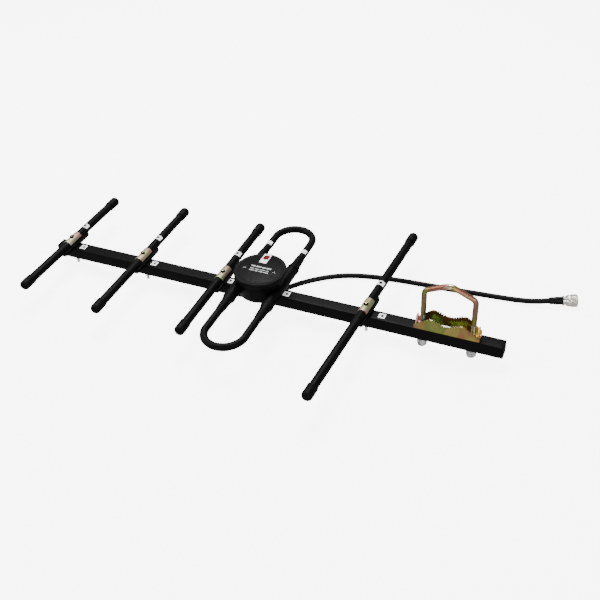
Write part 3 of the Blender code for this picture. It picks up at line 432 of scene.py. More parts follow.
PLAIN = {                    # colour, roughness, grain's scale and depth, variation, gloss
    "ptfe": ((0.82, 0.82, 0.79), 0.42, 900.0, 0.00002, 0.05),
    "board": ((0.04, 0.17, 0.08), 0.40, 1500.0, 0.00003),
    "ink": ((0.004, 0.004, 0.005), 0.50, 900.0, 0.00001, 0.25, BLACK_GLOSS),
    "red_ink": ((0.15, 0.002, 0.005), 0.50, 900.0, 0.00001, 0.25, BLACK_GLOSS),
    "print": ((0.44, 0.45, 0.46), 0.60, 900.0, 0.00001),
}


def zinc_films():
    """Axis range, noise scale, roughness, metallic value and colour stops of each zinc film, and of the saddle's
    painted highlight and painted shade.
    """
    low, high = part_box("clamp_saddle")
    across, upward = ("X", low.x, high.x), ("Z", low.z, high.z)
    bolt_low, bolt_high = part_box("u_bolt")
    crown, leg = ("X", bolt_low.x, bolt_high.x), ("Z", UBOLT_THREAD_TOP, bolt_high.z)
    reach = ("Y", -STRAP_LENGTH / 2, STRAP_LENGTH / 2)
    return {
        "saddle": (across, 45.0, 0.38, 1.0, [
            (0.00, ROSE), (0.09, OLIVE), (0.18, RUST), (0.28, GREEN), (0.40, OLIVE), (0.52, GREEN),
            (0.64, GOLD), (0.78, OLIVE), (0.88, RUST), (1.00, ROSE)]),
        "saddle_inside": (across, 45.0, 0.45, 0.8, [
            (0.17, tinted(BROWN, 0.3)), (0.26, LEAF), (0.36, GREEN), (0.46, UMBER), (0.57, UMBER),
            (0.66, LEAF), (0.75, GREEN), (0.83, UMBER)]),
        # Painted shade: dark brown on the far wall's top edge and the band under it.
        "saddle_band": (across, 80.0, 0.5, 1.0, [
            (0.1, tinted(BROWN, 0.35)), (0.5, tinted(BROWN, 0.5)), (0.9, tinted(BROWN, 0.3))]),
        # Painted highlight: cream to near white on the near wall's toothed top edges.
        "saddle_edge": (across, 120.0, 0.30, 1.0, [
            (0.1, OLIVE), (0.3, HIGHLIGHT_CREAM), (0.5, (0.96, 0.95, 0.90)), (0.62, HIGHLIGHT_CREAM), (0.8, OLIVE)]),
        "u_bolt_leg": (leg, 60.0, 0.32, 1.0, [
            (0.0, tinted(OLIVE, 0.7)), (0.4, (0.26, 0.19, 0.09)), (0.8, (0.30, 0.18, 0.12))]),
        # The cream stop at the crown's apex is a painted highlight.
        "u_bolt_crown": (crown, 35.0, 0.36, 1.0, [
            (0.00, tinted(OLIVE, 0.8)), (0.16, tinted(ROSE, 0.7)), (0.36, ROSE), (0.49, HIGHLIGHT_CREAM),
            (0.57, OLIVE), (0.80, ROSE), (0.95, tinted((0.46, 0.29, 0.17), 0.6))]),
        "lug_front": (upward, 90.0, 0.36, 0.1, [(0.2, (0.70, 0.26, 0.22)), (0.6, PINK)]),
        "lug_rear": (upward, 90.0, 0.36, 0.25, [(0.3, (0.72, 0.42, 0.05)), (0.7, (0.90, 0.66, 0.14))]),
        **{"strap_" + name: (reach, 80.0, 0.55, 1.0, stops) for name, stops in STRAP_FILMS.items()},
    }


def make_materials():
    for recipe, table in ((zinc_passivate, zinc_films()), (black_surface, BLACKS),
                          (bright_metal, METALS), (plain_surface, PLAIN)):
        for name, values in table.items():
            MATERIALS[name] = recipe(name, *values)
    MATERIALS["boom"] = scuffed_coat("boom", (0.0026, 0.0026, 0.0028), 0.45)
    MATERIALS["paper"] = glowing_white_paper("paper")


# ---------------------------------------------------------------- mesh helpers

def at(x, y=0.0, z=0.0):
    return Matrix.Translation((x, y, z))


def turned_by(degrees, axis="Z"):
    return Matrix.Rotation(math.radians(degrees), 4, axis)


def middle_of(node):
    return [(low + high) / 2 for low, high in zip(*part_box(node))]


def new_object(name, builder, material=None, place=None, sharp_angle=38):
    if place is not None:
        builder.transform(place)
    bmesh.ops.recalc_face_normals(builder, faces=builder.faces)
    if builder.calc_volume(signed=True) < 0.0:
        bmesh.ops.reverse_faces(builder, faces=builder.faces)
    mesh = bpy.data.meshes.new(name)
    builder.to_mesh(mesh)
    builder.free()
    if material:
        mesh.materials.append(MATERIALS[material])
    smooth(mesh, sharp_angle)
    return linked(name, mesh)


def smooth(mesh, sharp_angle=38):
    mesh.shade_smooth()
    mesh.set_sharp_from_angle(angle=math.radians(sharp_angle))


def bake_modifiers(piece):
    """Replaces the piece's mesh by its evaluated one."""
    bpy.context.view_layer.update()
    evaluated = piece.evaluated_get(bpy.context.evaluated_depsgraph_get())
    mesh = bpy.data.meshes.new_from_object(evaluated)
    piece.modifiers.clear()
    piece.data = mesh
    smooth(mesh)


def soften(piece, width, segments=2):
    """Rounds a piece's edges."""
    modifier = piece.modifiers.new("round_edges", "BEVEL")
    modifier.width = width
    modifier.segments = segments
    modifier.limit_method = "ANGLE"
    modifier.angle_limit = math.radians(35)
    bake_modifiers(piece)


def combine(piece, builders, operation="DIFFERENCE"):
    """Takes solids away from a piece, adds them to it, or keeps only what they share."""
    tools = [new_object("tool", builder) for builder in builders]
    for tool in tools:
        modifier = piece.modifiers.new("combine", "BOOLEAN")
        modifier.operation = operation
        modifier.solver = "EXACT"
        modifier.object = tool
    bake_modifiers(piece)
    for tool in tools:
        bpy.data.objects.remove(tool, do_unlink=True)
    return piece


def stand_in(piece, node):
    """The piece is shown instead of this CAD node and rides on its body."""
    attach(piece, BODY_OF[node])
    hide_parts(node)
    return piece


def show(node, builder, material, place=None, sharp_angle=38):
    """A finished piece made to stand in for a CAD node."""
    return stand_in(new_object("fine_" + node, builder, material, place, sharp_angle), node)


def extra(piece, body="boom", slot="housing_black"):
    """A piece beside the stand-ins, which rides on a body."""
    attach(piece, body)


def turned(profile, segments=FINE):
    """Spins (radius, height) points about Z. A profile that leaves the axis closes on itself."""
    builder = bmesh.new()
    verts = [builder.verts.new((radius, 0.0, height)) for radius, height in profile]
    edges = [builder.edges.new(pair) for pair in zip(verts, verts[1:])]
    if profile[0][0] > 0.0:
        edges.append(builder.edges.new((verts[-1], verts[0])))
    bmesh.ops.spin(builder, geom=verts + edges, cent=(0, 0, 0), axis=(0, 0, 1),
                   angle=math.tau, steps=segments, use_merge=True)
    bmesh.ops.remove_doubles(builder, verts=builder.verts, dist=1e-6)
    flat_centres = [vert for vert in builder.verts if math.hypot(vert.co.x, vert.co.y) < 1e-6
                    and all(abs(edge.other_vert(vert).co.z - vert.co.z) < 1e-7
                            for edge in vert.link_edges)]
    bmesh.ops.dissolve_verts(builder, verts=flat_centres)
    return builder


def cylinder(radius, low, high, segments=ROUND):
    builder = bmesh.new()
    bmesh.ops.create_cone(builder, cap_ends=True, segments=segments, radius1=radius, radius2=radius,
                          depth=high - low, matrix=at(0.0, 0.0, (low + high) / 2))
    return builder


def box(size, centre):
    builder = bmesh.new()
    bmesh.ops.create_cube(builder, size=1.0)
    bmesh.ops.scale(builder, vec=size, verts=builder.verts)
    bmesh.ops.translate(builder, vec=centre, verts=builder.verts)
    return builder


def moved(builder, matrix):
    builder.transform(matrix)
    return builder


def along_y(builder, sign=1):
    """Turns a piece built along +Z to lie along +Y, or along -Y for a sign of -1."""
    return moved(builder, turned_by(-90.0 * sign, "X"))


def arc(centre, radius, start, end, steps):
    """Points on an arc, from one angle to another, in degrees."""
    for step in range(steps + 1):
        angle = math.radians(start + (end - start) * step / steps)
        yield centre[0] + radius * math.cos(angle), centre[1] + radius * math.sin(angle)


def evenly(start, end, steps):
    """Evenly spaced values from start to end, both included."""
    return [start + (end - start) * step / steps for step in range(steps + 1)]


def lofted(rings):
    """Joins closed rings of equal point counts, in order, and closes both ends."""
    builder = bmesh.new()
    loops = [[builder.verts.new(point) for point in ring] for ring in rings]
    for loop, following in zip(loops, loops[1:]):
        for index in range(len(loop)):
            after = (index + 1) % len(loop)
            builder.faces.new((loop[index], loop[after], following[after], following[index]))
    builder.faces.new(loops[0])
    builder.faces.new(loops[-1])
    return builder


def extruded_x(outline, length):
    """A prism along X from a YZ outline, centred on its plane."""
    return lofted([[(x, y, z) for y, z in outline] for x in (-length / 2, length / 2)])


def rounded_rectangle(size_a, size_b, corner, steps):
    reach_a, reach_b = size_a / 2 - corner, size_b / 2 - corner
    points = []
    for index, (sign_a, sign_b) in enumerate([(1, 1), (-1, 1), (-1, -1), (1, -1)]):
        centre = (sign_a * reach_a, sign_b * reach_b)
        points += arc(centre, corner, 90 * index, 90 * index + 90, steps)
    return points


def rounded_square(side, corner):
    return rounded_rectangle(side, side, corner, 6)


def frames_along(points):
    """A side and an up vector at each point of a path, turning as little as possible."""
    side = None
    for index, point in enumerate(points):
        ahead = points[min(index + 1, len(points) - 1)] - points[max(index - 1, 0)]
        tangent = ahead.normalized()
        if side is None:
            side = tangent.orthogonal().normalized()
        side = (side - tangent * side.dot(tangent)).normalized()
        yield point, side, tangent.cross(side)


def swept(path, radius_at, segments):
    """A round bar along a path. radius_at gives the radius at a point's index and an angle."""
    rings = []
    for index, (point, side, up) in enumerate(frames_along([Vector(point) for point in path])):
        ring = []
        for step in range(segments):
            angle = math.tau * step / segments
            offset = side * math.cos(angle) + up * math.sin(angle)
            ring.append(point + offset * radius_at(index, angle))
        rings.append(ring)
    return lofted(rings)


def thread_depth(along, angle, pitch):
    """Depth of a screw thread below its crest, from 0 to 1, on a helix."""
    turn = (along / pitch + angle / math.tau) % 1.0
    return 1.0 - abs(2.0 * turn - 1.0)


def hex_nut(node, across_flats, low, high, bore, angle=0.0):
    """A drilled hexagon along Z whose corners are turned off at both ends, as on a real nut."""
    corner = across_flats / 2 / math.cos(math.radians(30))
    nut = new_object("fine_" + node, cylinder(corner, low, high, 6))
    drop = (corner - across_flats / 2) * 0.9
    blank = turned([(0.0, low), (corner - drop, low), (corner + 0.0001, low + drop * 0.62),
                    (corner + 0.0001, high - drop * 0.62), (corner - drop, high), (0.0, high)])
    combine(nut, [blank], "INTERSECT")
    nut.data.transform(turned_by(angle))
    nut.data.materials.clear()
    nut.data.materials.append(MATERIALS["steel"])
    return combine(nut, [cylinder(bore, low - PAST, high + PAST)])


def patch_on_tube(radius, middle, half, low_angle, high_angle, thickness=PAPER_THICKNESS):
    """A thin curved label on a tube along Y, between two angles."""
    ring = [*arc((0.0, 0.0), radius + thickness, low_angle, high_angle, 12),
            *arc((0.0, 0.0), radius - 0.0002, high_angle, low_angle, 12)]
    return lofted([[(x, y, z) for x, z in ring] for y in (middle - half, middle + half)])


def flat_patch(size, centre, corner=0.0006, thickness=PAPER_THICKNESS):
    """A thin label with round corners, lying flat with its underside sunk a little."""
    ring = rounded_rectangle(*size, corner, 4)
    return lofted([[(centre[0] + x, centre[1] + y, centre[2] + z) for x, y in ring]
                   for z in (-LABEL_SUNK, thickness)])


# ---------------------------------------------------------------- boom

def build_boom():
    low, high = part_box("boom_tube")
    side = high.z - low.z + 2 * BOOM_COAT
    middle = at(*middle_of("boom_tube"))
    length = high.x - low.x
    tube = new_object("fine_boom_tube", extruded_x(rounded_square(side, BOOM_CORNER), length), "boom",
                      middle)
    inner = rounded_square(side - 2 * BOOM_WALL, BOOM_CORNER / 2)
    cutters = [moved(extruded_x(inner, length + side), middle)]
    for ending, radius in (("_swivel", SCREW_RADIUS), ("_turn", UBOLT_RADIUS + UBOLT_COAT)):
        cutters += [moved(cylinder(radius + GAP, low.z - side, high.z + side), at(joint["pos_m"][0]))
                    for name, joint in JOINTS.items() if name.endswith(ending)]
    stand_in(combine(tube, cutters), "boom_tube")
    build_plug("boom_plug_front", -1, side)
    build_plug("boom_plug_rear", 1, side)


def build_plug(node, outward, side):
    """A square flange with round edges, a shallow dish in its face, and a spigot inside the tube."""
    low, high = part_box(node)
    face = low.x if outward < 0 else high.x
    seat = face - outward * PLUG_FLANGE
    inside = side - 2 * BOOM_WALL - 2 * GAP
    sections = [(seat - outward * PLUG_SPIGOT, inside, 0.0006), (seat, inside, 0.0006),
                (seat, side, BOOM_CORNER), (face - outward * 0.0008, side, BOOM_CORNER),
                (face - outward * 0.0003, side - 0.0006, BOOM_CORNER),
                (face, side - 0.0022, BOOM_CORNER), (face, side - 0.0060, 0.0008),
                (face - outward * 0.0004, side - 0.0072, 0.0008)]
    height = (low.z + high.z) / 2
    show(node, lofted([[(x, a, b + height) for a, b in rounded_square(width, corner)]
                       for x, width, corner in sections]), "plug")


# ---------------------------------------------------------------- straight elements

def measure_element(name):
    """Where a straight element's axis lies and how far its caps reach, read from its CAD nodes."""
    pivot = Vector(JOINTS[f"{name}_swivel"]["pos_m"])
    left, right = (frame["nodes"][f"{name}_cap_{side}"].data.vertices for side in ("left", "right"))
    ends = [sum((vertex.co for vertex in vertices), Vector()) / len(vertices)
            for vertices in (left, right)]
    direction = (ends[1] - ends[0]).normalized()
    reach = max((vertex.co - pivot).dot(direction) for vertex in right)
    return at(*pivot) @ Matrix.Rotation(math.atan2(-direction.x, direction.y), 4, "Z"), reach


def build_element(name, label_at):
    place, reach = measure_element(name)
    rod_end = reach - CAP_FLOOR - GAP
    radius = ROD_RADIUS + COAT
    rod = turned([(0.0, -rod_end), (radius, -rod_end), (radius, rod_end), (0.0, rod_end)], ROUND)
    for part, builder, material, rounding in (
            ("rod", along_y(rod), "rod", 0.0),
            ("holder", build_holder(place.translation.z), "holder", 0.0004),
            ("strap", build_strap(), "strap_" + name, 0.00015)):
        piece = new_object(f"fine_{name}_{part}", builder, material, place)
        if rounding:
            soften(piece, rounding)
        combine(piece, [moved(cylinder(SCREW_RADIUS + GAP, -2 * PAST, 2 * PAST), place)])
        stand_in(piece, f"{name}_{part}")
    for side, sign in (("left", -1), ("right", 1)):
        show(f"{name}_cap_{side}", along_y(turned(cap_profile(reach), ROUND), sign), "cap", place)
    build_element_screw(name, place)
    extra(new_object(f"{name}_sticker", patch_on_tube(radius, label_at, 0.004, 30, 150), "paper",
                     place), name, "plastic_black")
    mark = patch_on_tube(radius + PAPER_THICKNESS, label_at, 0.0020, 68, 108, INK_THICKNESS)
    extra(new_object(f"{name}_sticker_mark", mark, "ink", place), name, "plastic_black")


def cap_profile(reach):
    """A moulded rubber cup with a rolled mouth, a shallow groove and a round end."""
    outer = CAP_RADIUS + COAT
    inner = ROD_RADIUS + COAT + 0.0001
    mouth, shoulder, cup_floor = reach - CAP_LENGTH, reach - CAP_DOME, reach - CAP_FLOOR
    dome = [(outer * math.cos(angle), shoulder + CAP_DOME * math.sin(angle))
            for angle in (math.radians(step * 6) for step in range(15))]
    rim = [(outer - inset, mouth + along) for inset, along in (
        (0.0003, 0.0), (0.0001, 0.0001), (0.0, 0.0004), (0.0, 0.0012), (0.0002, 0.0015),
        (0.0002, 0.0021), (0.00005, 0.0025))]
    return [(0.0, cup_floor), (inner, cup_floor), (inner, mouth), *rim, *dome, (0.0, reach)]


def build_holder(axis_height):
    """A cradle between the boom and the rod, with a groove for the rod and cut-back end corners."""
    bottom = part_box("boom_tube")[1].z + GAP - axis_height
    top = bottom + HOLDER_HEIGHT
    groove = ROD_RADIUS + COAT + 0.00005
    edge = math.degrees(math.asin(-top / groove))
    hollow = list(arc((0.0, 0.0), groove, -edge, -180 + edge, 18))
    half, end = HOLDER_WIDTH / 2, HOLDER_LENGTH / 2
    sections = [(-end, half - HOLDER_CORNER_WIDTH), (-end + HOLDER_CORNER_LENGTH, half),
                (end - HOLDER_CORNER_LENGTH, half), (end, half - HOLDER_CORNER_WIDTH)]
    return lofted([[(x, y, z) for x, z in [(width, bottom), (width, top), *hollow, (-width, top),
                                           (-width, bottom)]] for y, width in sections])


def build_strap():
    """A curved sheet strap over the rod."""
    inner = ROD_RADIUS + COAT
    low, high = STRAP_EDGE_ANGLE, 180 - STRAP_EDGE_ANGLE
    outline = [*arc((0.0, 0.0), inner + STRAP_THICKNESS, low, high, 36),
               *arc((0.0, 0.0), inner, high, low, 36)]
    return lofted([[(x, y, z) for x, z in outline] for y in (-STRAP_LENGTH / 2, STRAP_LENGTH / 2)])


def build_element_screw(name, place):
    """A pan-head socket screw through the element and the boom, and its nut below."""
    seat = ROD_RADIUS + COAT + STRAP_THICKNESS
    crown = seat + SCREW_HEAD_HEIGHT
    wide, bevel = SCREW_HEAD_RADIUS, SCREW_HEAD_BEVEL
    edge = crown - bevel * 1.6
    head = turned([(0.0, seat), (wide - 0.0001, seat), (wide, seat + 0.0001), (wide, edge),
                   *arc((wide - bevel, edge), bevel, 20, 90, 4), (wide * 0.66, crown - 0.0001),
                   (wide * 0.56, crown), (0.0, crown)], ROUND)
    screw = new_object(f"fine_{name}_screw", head, "head_rim", place)
    socket = cylinder(SOCKET_ACROSS_CORNERS / 2, crown - 0.0012, crown + 0.001, 6)
    combine(screw, [moved(socket, place)])
    # The head's top face gets a painted highlight and its sides and bevel a painted shade, on one zinc-plated
    # head.
    screw.data.materials.append(MATERIALS["head_face"])
    for face in screw.data.polygons:
        from_axis = (face.center - place.translation).xy.length
        if face.normal.z > 0.9 and from_axis < wide * 0.60:
            face.material_index = 1
    stand_in(screw, f"{name}_screw")

    low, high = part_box(f"{name}_screw")[0].z, place.translation.z + seat + 0.0002
    rows = int((high - low) / SCREW_PITCH * 4)
    heights = evenly(low, high, rows)

    def radius_at(index, angle):
        taper = SCREW_TIP_TAPER if index == 0 else 0.0
        return SCREW_RADIUS - taper - SCREW_THREAD_DEPTH * thread_depth(heights[index], angle, SCREW_PITCH)

    x, y = place.translation.xy
    shank = swept([(x, y, height) for height in heights], radius_at, 20)
    extra(new_object(f"fine_{name}_screw_shank", shank, "steel", sharp_angle=60), slot="steel_bright")
    nut_low, nut_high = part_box(f"{name}_nut")
    nut = hex_nut(f"{name}_nut", NUT_ACROSS_FLATS, nut_low.z, nut_high.z, SCREW_RADIUS + 0.0001)
    nut.data.transform(at(x, y) @ place.to_euler().to_matrix().to_4x4())
    stand_in(nut, f"{name}_nut")


# ---------------------------------------------------------------- driven element

def build_dipole():
    for side, sign in (("left", -1), ("right", 1)):
        node = f"dipole_half_{side}"
        low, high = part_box(node)
        middle_x, _, height = middle_of(node)
        reach = max(abs(low.y), abs(high.y)) - DIPOLE_RADIUS - DIPOLE_ARM_OFFSET
        arm = evenly(DIPOLE_FEED_GAP / 2, reach, 20)[:-1]
        plan = [(DIPOLE_ARM_OFFSET, y) for y in arm]
        plan += arc((0.0, reach), DIPOLE_ARM_OFFSET, 0, 180, 48)
        plan += [(-DIPOLE_ARM_OFFSET, y) for y in reversed(arm)]
        path = [(middle_x + x, sign * y, height) for x, y in plan]
        show(node, swept(path, lambda index, angle: DIPOLE_RADIUS + COAT, 32), "rod")
        for name, arm_side in (("front", -1), ("rear", 1)):
            show(f"boot_{side}_{name}", along_y(turned(boot_profile(), ROUND), sign), "boot",
                 at(middle_x + arm_side * DIPOLE_ARM_OFFSET, 0.0, height))
    for name, x, y in (("front", -DIPOLE_ARM_OFFSET, 0.0787), ("rear", DIPOLE_ARM_OFFSET, 0.0745)):
        label = patch_on_tube(DIPOLE_RADIUS + COAT, y, 0.0035, 35, 145)
        extra(new_object(f"dipole_sticker_{name}", label, "paper", at(middle_x + x, 0.0, height)),
              slot="plastic_black")


def boot_profile():
    """A moulded boot: a collar against the port, then a ribbed neck that narrows to the arm."""
    start = PORT_REACH + GAP
    inner = DIPOLE_RADIUS + COAT - 0.0001
    points = [(inner, start)]
    for (along, radius), (after, next_radius) in zip(BOOT_STEPS, BOOT_STEPS[1:]):
        for share in (0.05, 0.35, 0.65, 0.95):
            ring = 0.0002 if share == 0.35 and along > 0.003 else 0.0
            points.append((radius + COAT / 2 + (next_radius - radius) * share + ring,
                           start + along + (after - along) * share))
    last, last_radius = BOOT_STEPS[-1]
    return points + [(last_radius + COAT / 2, start + last), (inner, start + last)]


def build_housing():
    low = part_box("housing_base")[0].z
    middle = Vector((middle_of("housing_base")[0], 0.0, low))
    place = at(*middle)
    arm_height = middle_of("dipole_half_left")[2] - low
    wide, rim = HOUSING_RADIUS, HOUSING_HEIGHT
    cup = new_object("fine_housing_base", turned([
        (0.0, 0.0), (wide - 0.0010, 0.0), (wide - 0.0003, 0.0003), (wide, 0.0010),
        (wide, rim - 0.0002), (wide - 0.0002, rim), (0.0, rim)], FINEST), "housing", place)
    ports = []
    bores = [moved(cylinder(wide - HOUSING_WALL, HOUSING_FLOOR, 2 * rim, FINEST), place)]
    for arm_side in (-1, 1):
        arm = place @ at(arm_side * DIPOLE_ARM_OFFSET, 0.0, arm_height)
        port = turned([(0.0, -PORT_REACH), (PORT_RADIUS - 0.0005, -PORT_REACH),
                       (PORT_RADIUS, -PORT_REACH + 0.0005), (PORT_RADIUS, PORT_REACH - 0.0005),
                       (PORT_RADIUS - 0.0005, PORT_REACH), (0.0, PORT_REACH)], ROUND)
        ports.append(moved(along_y(port), arm))
        bores.append(moved(along_y(cylinder(DIPOLE_RADIUS + COAT, -2 * PORT_REACH, 2 * PORT_REACH)), arm))
    combine(cup, ports, "UNION")
    combine(cup, bores)
    stand_in(cup, "housing_base")
    add_housing_ribs(place)
    build_lid()
    gasket_low, gasket_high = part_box("lid_gasket")
    inner, outer = wide - HOUSING_WALL + 0.0003, wide - 0.0003
    thick = gasket_high.z - gasket_low.z
    gasket = turned([(inner, 0.0), (outer, 0.0), (outer + 0.0001, thick / 2), (outer, thick),
                     (inner, thick)], FINEST)
    show("lid_gasket", gasket, "gasket", at(middle.x, 0.0, gasket_low.z))


def add_housing_ribs(place):
    """Shallow moulded ribs on the cup's front and back and one small drain boss low on its front."""
    height = HOUSING_HEIGHT - 0.0085
    for index, angle in enumerate(range(0, 360, 30)):
        if abs(math.cos(math.radians(angle))) > 0.45:
            continue
        rib = box((0.0007, 0.0013, height), (HOUSING_RADIUS, 0.0, 0.0020 + height / 2))
        piece = new_object(f"housing_rib_{index}", rib, "housing", place @ turned_by(angle))
        soften(piece, 0.0003)
        extra(piece)
    boss = turned([(0.0, 0.0), (0.0012, 0.0), (0.0012, 0.0004), (0.0009, 0.0006), (0.0006, 0.0003),
                   (0.0, 0.0003)], 24)
    spot = turned_by(-78) @ at(HOUSING_RADIUS - 0.0002, 0.0, 0.0042)
    extra(new_object("housing_drain", boss, "housing", place @ spot @ turned_by(90, "Y")))


def build_lid():
    middle = Vector((middle_of("housing_lid")[0], 0.0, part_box("housing_lid")[1].z))
    spigot = HOUSING_RADIUS - HOUSING_WALL - GAP
    seat, wide = -LID_THICKNESS, LID_RADIUS
    lip = seat - LID_LIP
    profile = [(0.0, seat), (spigot - 0.002, seat), (spigot - 0.002, seat - 0.0036),
               (spigot, seat - 0.0036), (spigot, seat), (HOUSING_RADIUS + 0.0010, seat),
               (HOUSING_RADIUS + 0.0010, lip), (wide - 0.0006, lip), (wide - 0.0002, lip + 0.0002),
               (wide, lip + 0.0006), *arc((wide - LID_ROUNDING, -LID_ROUNDING), LID_ROUNDING, 0, 90, 10),
               (wide - 0.0040, -0.00002), (wide - 0.0044, -0.0002), (wide - 0.0048, -0.00002),
               (0.0, 0.0)]
    show("housing_lid", turned(profile, 128), "lid", at(*middle), 30)
    add_lid_print(middle)


def add_lid_print(middle):
    """A blank white label with one red mark, and rows of plain bars where print would be."""
    label_at = middle + Vector((-0.0027, 0.0215, 0.0))
    mark_at = label_at + Vector((0.0002, 0.0024, PAPER_THICKNESS))
    patches = [("lid_label", flat_patch((0.0100, 0.0185), label_at), "paper"),
               ("lid_label_mark", flat_patch((0.0076, 0.0092), mark_at, 0.0026, 0.00006), "red_ink")]
    bars = []
    for across, height, widths in LID_PRINT:
        x = -(sum(widths) / 1000 + LID_BAR_GAP * (len(widths) - 1)) / 2
        for width in (value / 1000 for value in widths):
            bars.append(flat_patch((width, height), middle + Vector((x + width / 2, across, 0.0)), 0.0003,
                                   0.00004))
            x += width + LID_BAR_GAP
    patches += [(f"lid_bar_{index}", bar, "print") for index, bar in enumerate(bars)]
    for side in (-1, 1):
        star = middle + Vector((side * 0.0200, -0.0020 + side * 0.0010, 0.0))
        for limb, angle in enumerate((90, 210, 330)):
            bar = flat_patch((0.0024, 0.0006), (0.0012, 0.0, 0.0), 0.0002, 0.00004)
            patches.append((f"lid_star_{side + 1}_{limb}", moved(bar, at(*star) @ turned_by(angle)),
                            "print"))
    for patch in patches:
        extra(new_object(*patch))


def add_boom_stickers():
    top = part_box("boom_tube")[1].z + BOOM_COAT
    for index, x in enumerate(BOOM_LABELS):
        label = flat_patch((0.0084, 0.0084), (x, 0.0, top), 0.0002)
        extra(new_object(f"boom_sticker_{index}", label, "paper"), slot="boom_black")
        mark = flat_patch((0.0030, 0.0040), (x + 0.0004, 0.0, top + PAPER_THICKNESS),
                          thickness=INK_THICKNESS)
        extra(new_object(f"boom_sticker_mark_{index}", mark, "ink"), slot="boom_black")


def build_small_parts():
    """What is mostly out of sight: the housing's screws, the board, the link and the insulator."""
    for node in ("housing_screw_1", "housing_screw_2"):
        low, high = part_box(node)
        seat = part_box("boom_tube")[0].z - GAP
        screw = turned([(0.0, low.z + 0.0004), (0.0012, low.z + 0.0004), (0.0014, low.z),
                        (0.0022, low.z + 0.0001), *arc((0.0022, low.z + 0.0009), 0.0009, -80, 0, 5),
                        (0.0031, seat), (0.0016, seat), (0.0016, high.z), (0.0, high.z)], 32)
        show(node, screw, "steel", at(middle_of(node)[0]))
    for node, material in (("feed_board", "board"), ("joining_link", "copper"),
                           ("connector_insert", "ptfe")):
        shown = frame["nodes"][node]
        shown.data.materials.clear()
        shown.data.materials.append(MATERIALS[material])


# ---------------------------------------------------------------- cable and connector

def smooth_route(points, steps):
    """A Catmull-Rom curve through the route's points."""
    knots = [Vector(point) for point in points]
    fine = []
    for index, (start, end) in enumerate(zip(knots, knots[1:])):
        before = knots[max(index - 1, 0)]
        after = knots[min(index + 2, len(knots) - 1)]
        for step in range(steps):
            t = step / steps
            fine.append(0.5 * (2 * start + (end - before) * t
                               + (2 * before - 5 * start + 4 * end - after) * t ** 2
                               + (3 * start - before - 3 * end + after) * t ** 3))
    return fine + [knots[-1]]


def build_cable_curve():
    curve = bpy.data.curves.new("fine_coax_cable", "CURVE")
    curve.dimensions = "3D"
    curve.bevel_depth = CABLE_RADIUS + CABLE_COAT
    curve.bevel_resolution = 8
    curve.use_fill_caps = True
    curve.materials.append(MATERIALS["cable"])
    points = smooth_route(CABLE_ROUTE, 8)
    spline = curve.splines.new("POLY")
    spline.points.add(len(points) - 1)
    for target, point in zip(spline.points, points):
        target.co = (*point, 1.0)
    spline.use_smooth = True
    return stand_in(linked("fine_coax_cable", curve), "coax_cable")


def build_cable():
    """The coaxial tail with its sleeve, connector and strain relief."""
    cable = build_cable_curve()
    heading = math.radians(CONNECTOR_HEADING)
    start = Vector(CABLE_ROUTE[-1])
    start.z = CONNECTOR_AXIS_HEIGHT
    start += Vector((math.cos(heading), math.sin(heading), 0.0)) * GAP
    place = at(*start) @ (turned_by(CONNECTOR_HEADING) @ turned_by(90, "Y"))
    inner, full = CABLE_RADIUS - 0.0001, CABLE_SLEEVE_RADIUS + COAT
    sleeve = turned([(inner, 0.0), (full - 0.0008, 0.0), (full - 0.0005, 0.0003),
                     (full - 0.0005, 0.0052), (full - 0.0003, 0.0064), (full - 0.0001, 0.0074),
                     (full, 0.0084), (full, 0.0150), (full - 0.0002, CABLE_SLEEVE_LENGTH),
                     (inner, CABLE_SLEEVE_LENGTH)], ROUND)
    ending = [show("cable_sleeve", sleeve, "heat_shrink", place),
              build_connector(place @ at(0.0, 0.0, CABLE_SLEEVE_LENGTH + GAP)),
              frame["nodes"]["connector_insert"]]
    build_gland()
    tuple(CABLE_ROUTE[0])


def build_connector(place):
    """A jack: crimped ferrule, knurled shoulder, neck and a threaded barrel with its socket."""
    tip, bottom = CONNECTOR_LENGTH, CONNECTOR_LENGTH - SOCKET_DEPTH
    barrel, full = CONNECTOR_RADIUS + COAT / 3, CONNECTOR_RADIUS
    ferrule = [(0.0, 0.0046), (0.0003, FERRULE_RADIUS - 0.0004), (0.0006, FERRULE_RADIUS),
               (0.0018, FERRULE_RADIUS), (0.0021, 0.0050), (0.0041, 0.0050),
               (0.0044, FERRULE_RADIUS), (FERRULE_LENGTH, FERRULE_RADIUS)]
    shoulder = [(FERRULE_LENGTH + beyond, full - inset) for beyond, inset in (
        (0.0001, 0.0009), (0.0004, 0.0006), (0.0028, 0.0004), (0.0031, 0.0009), (0.0042, 0.0009))]
    start, end = FERRULE_LENGTH + 0.0046, tip - 0.0006
    thread = [(along, barrel) for along in evenly(start, end, int((end - start) / CONNECTOR_THREAD_STEP))]
    rows = ferrule + shoulder + thread + [(tip, barrel - 0.0005)]
    knurled = range(len(ferrule) + 1, len(ferrule) + 3)
    first_turn = len(ferrule) + len(shoulder)

    def radius_at(index, angle):
        along, radius = rows[index]
        if index in knurled:
            return radius - KNURL_DEPTH * (0.5 + 0.5 * math.cos(angle * KNURLS))
        if first_turn <= index < len(rows) - 1:
            return radius - CONNECTOR_THREAD_DEPTH * thread_depth(along, angle, CONNECTOR_PITCH)
        return radius

    path = [(0.0, 0.0, along) for along, _ in rows]
    body = new_object("fine_connector_body", swept(path, radius_at, 120), "nickel", sharp_angle=50)
    mouth = turned([(0.0, bottom), (SOCKET_RADIUS, bottom), (SOCKET_RADIUS, tip - 0.0003),
                    (SOCKET_RADIUS + 0.0006, tip + 0.0003), (0.0, tip + 0.0003)])
    combine(body, [mouth])
    body.data.transform(place)
    return stand_in(body, "connector_body")


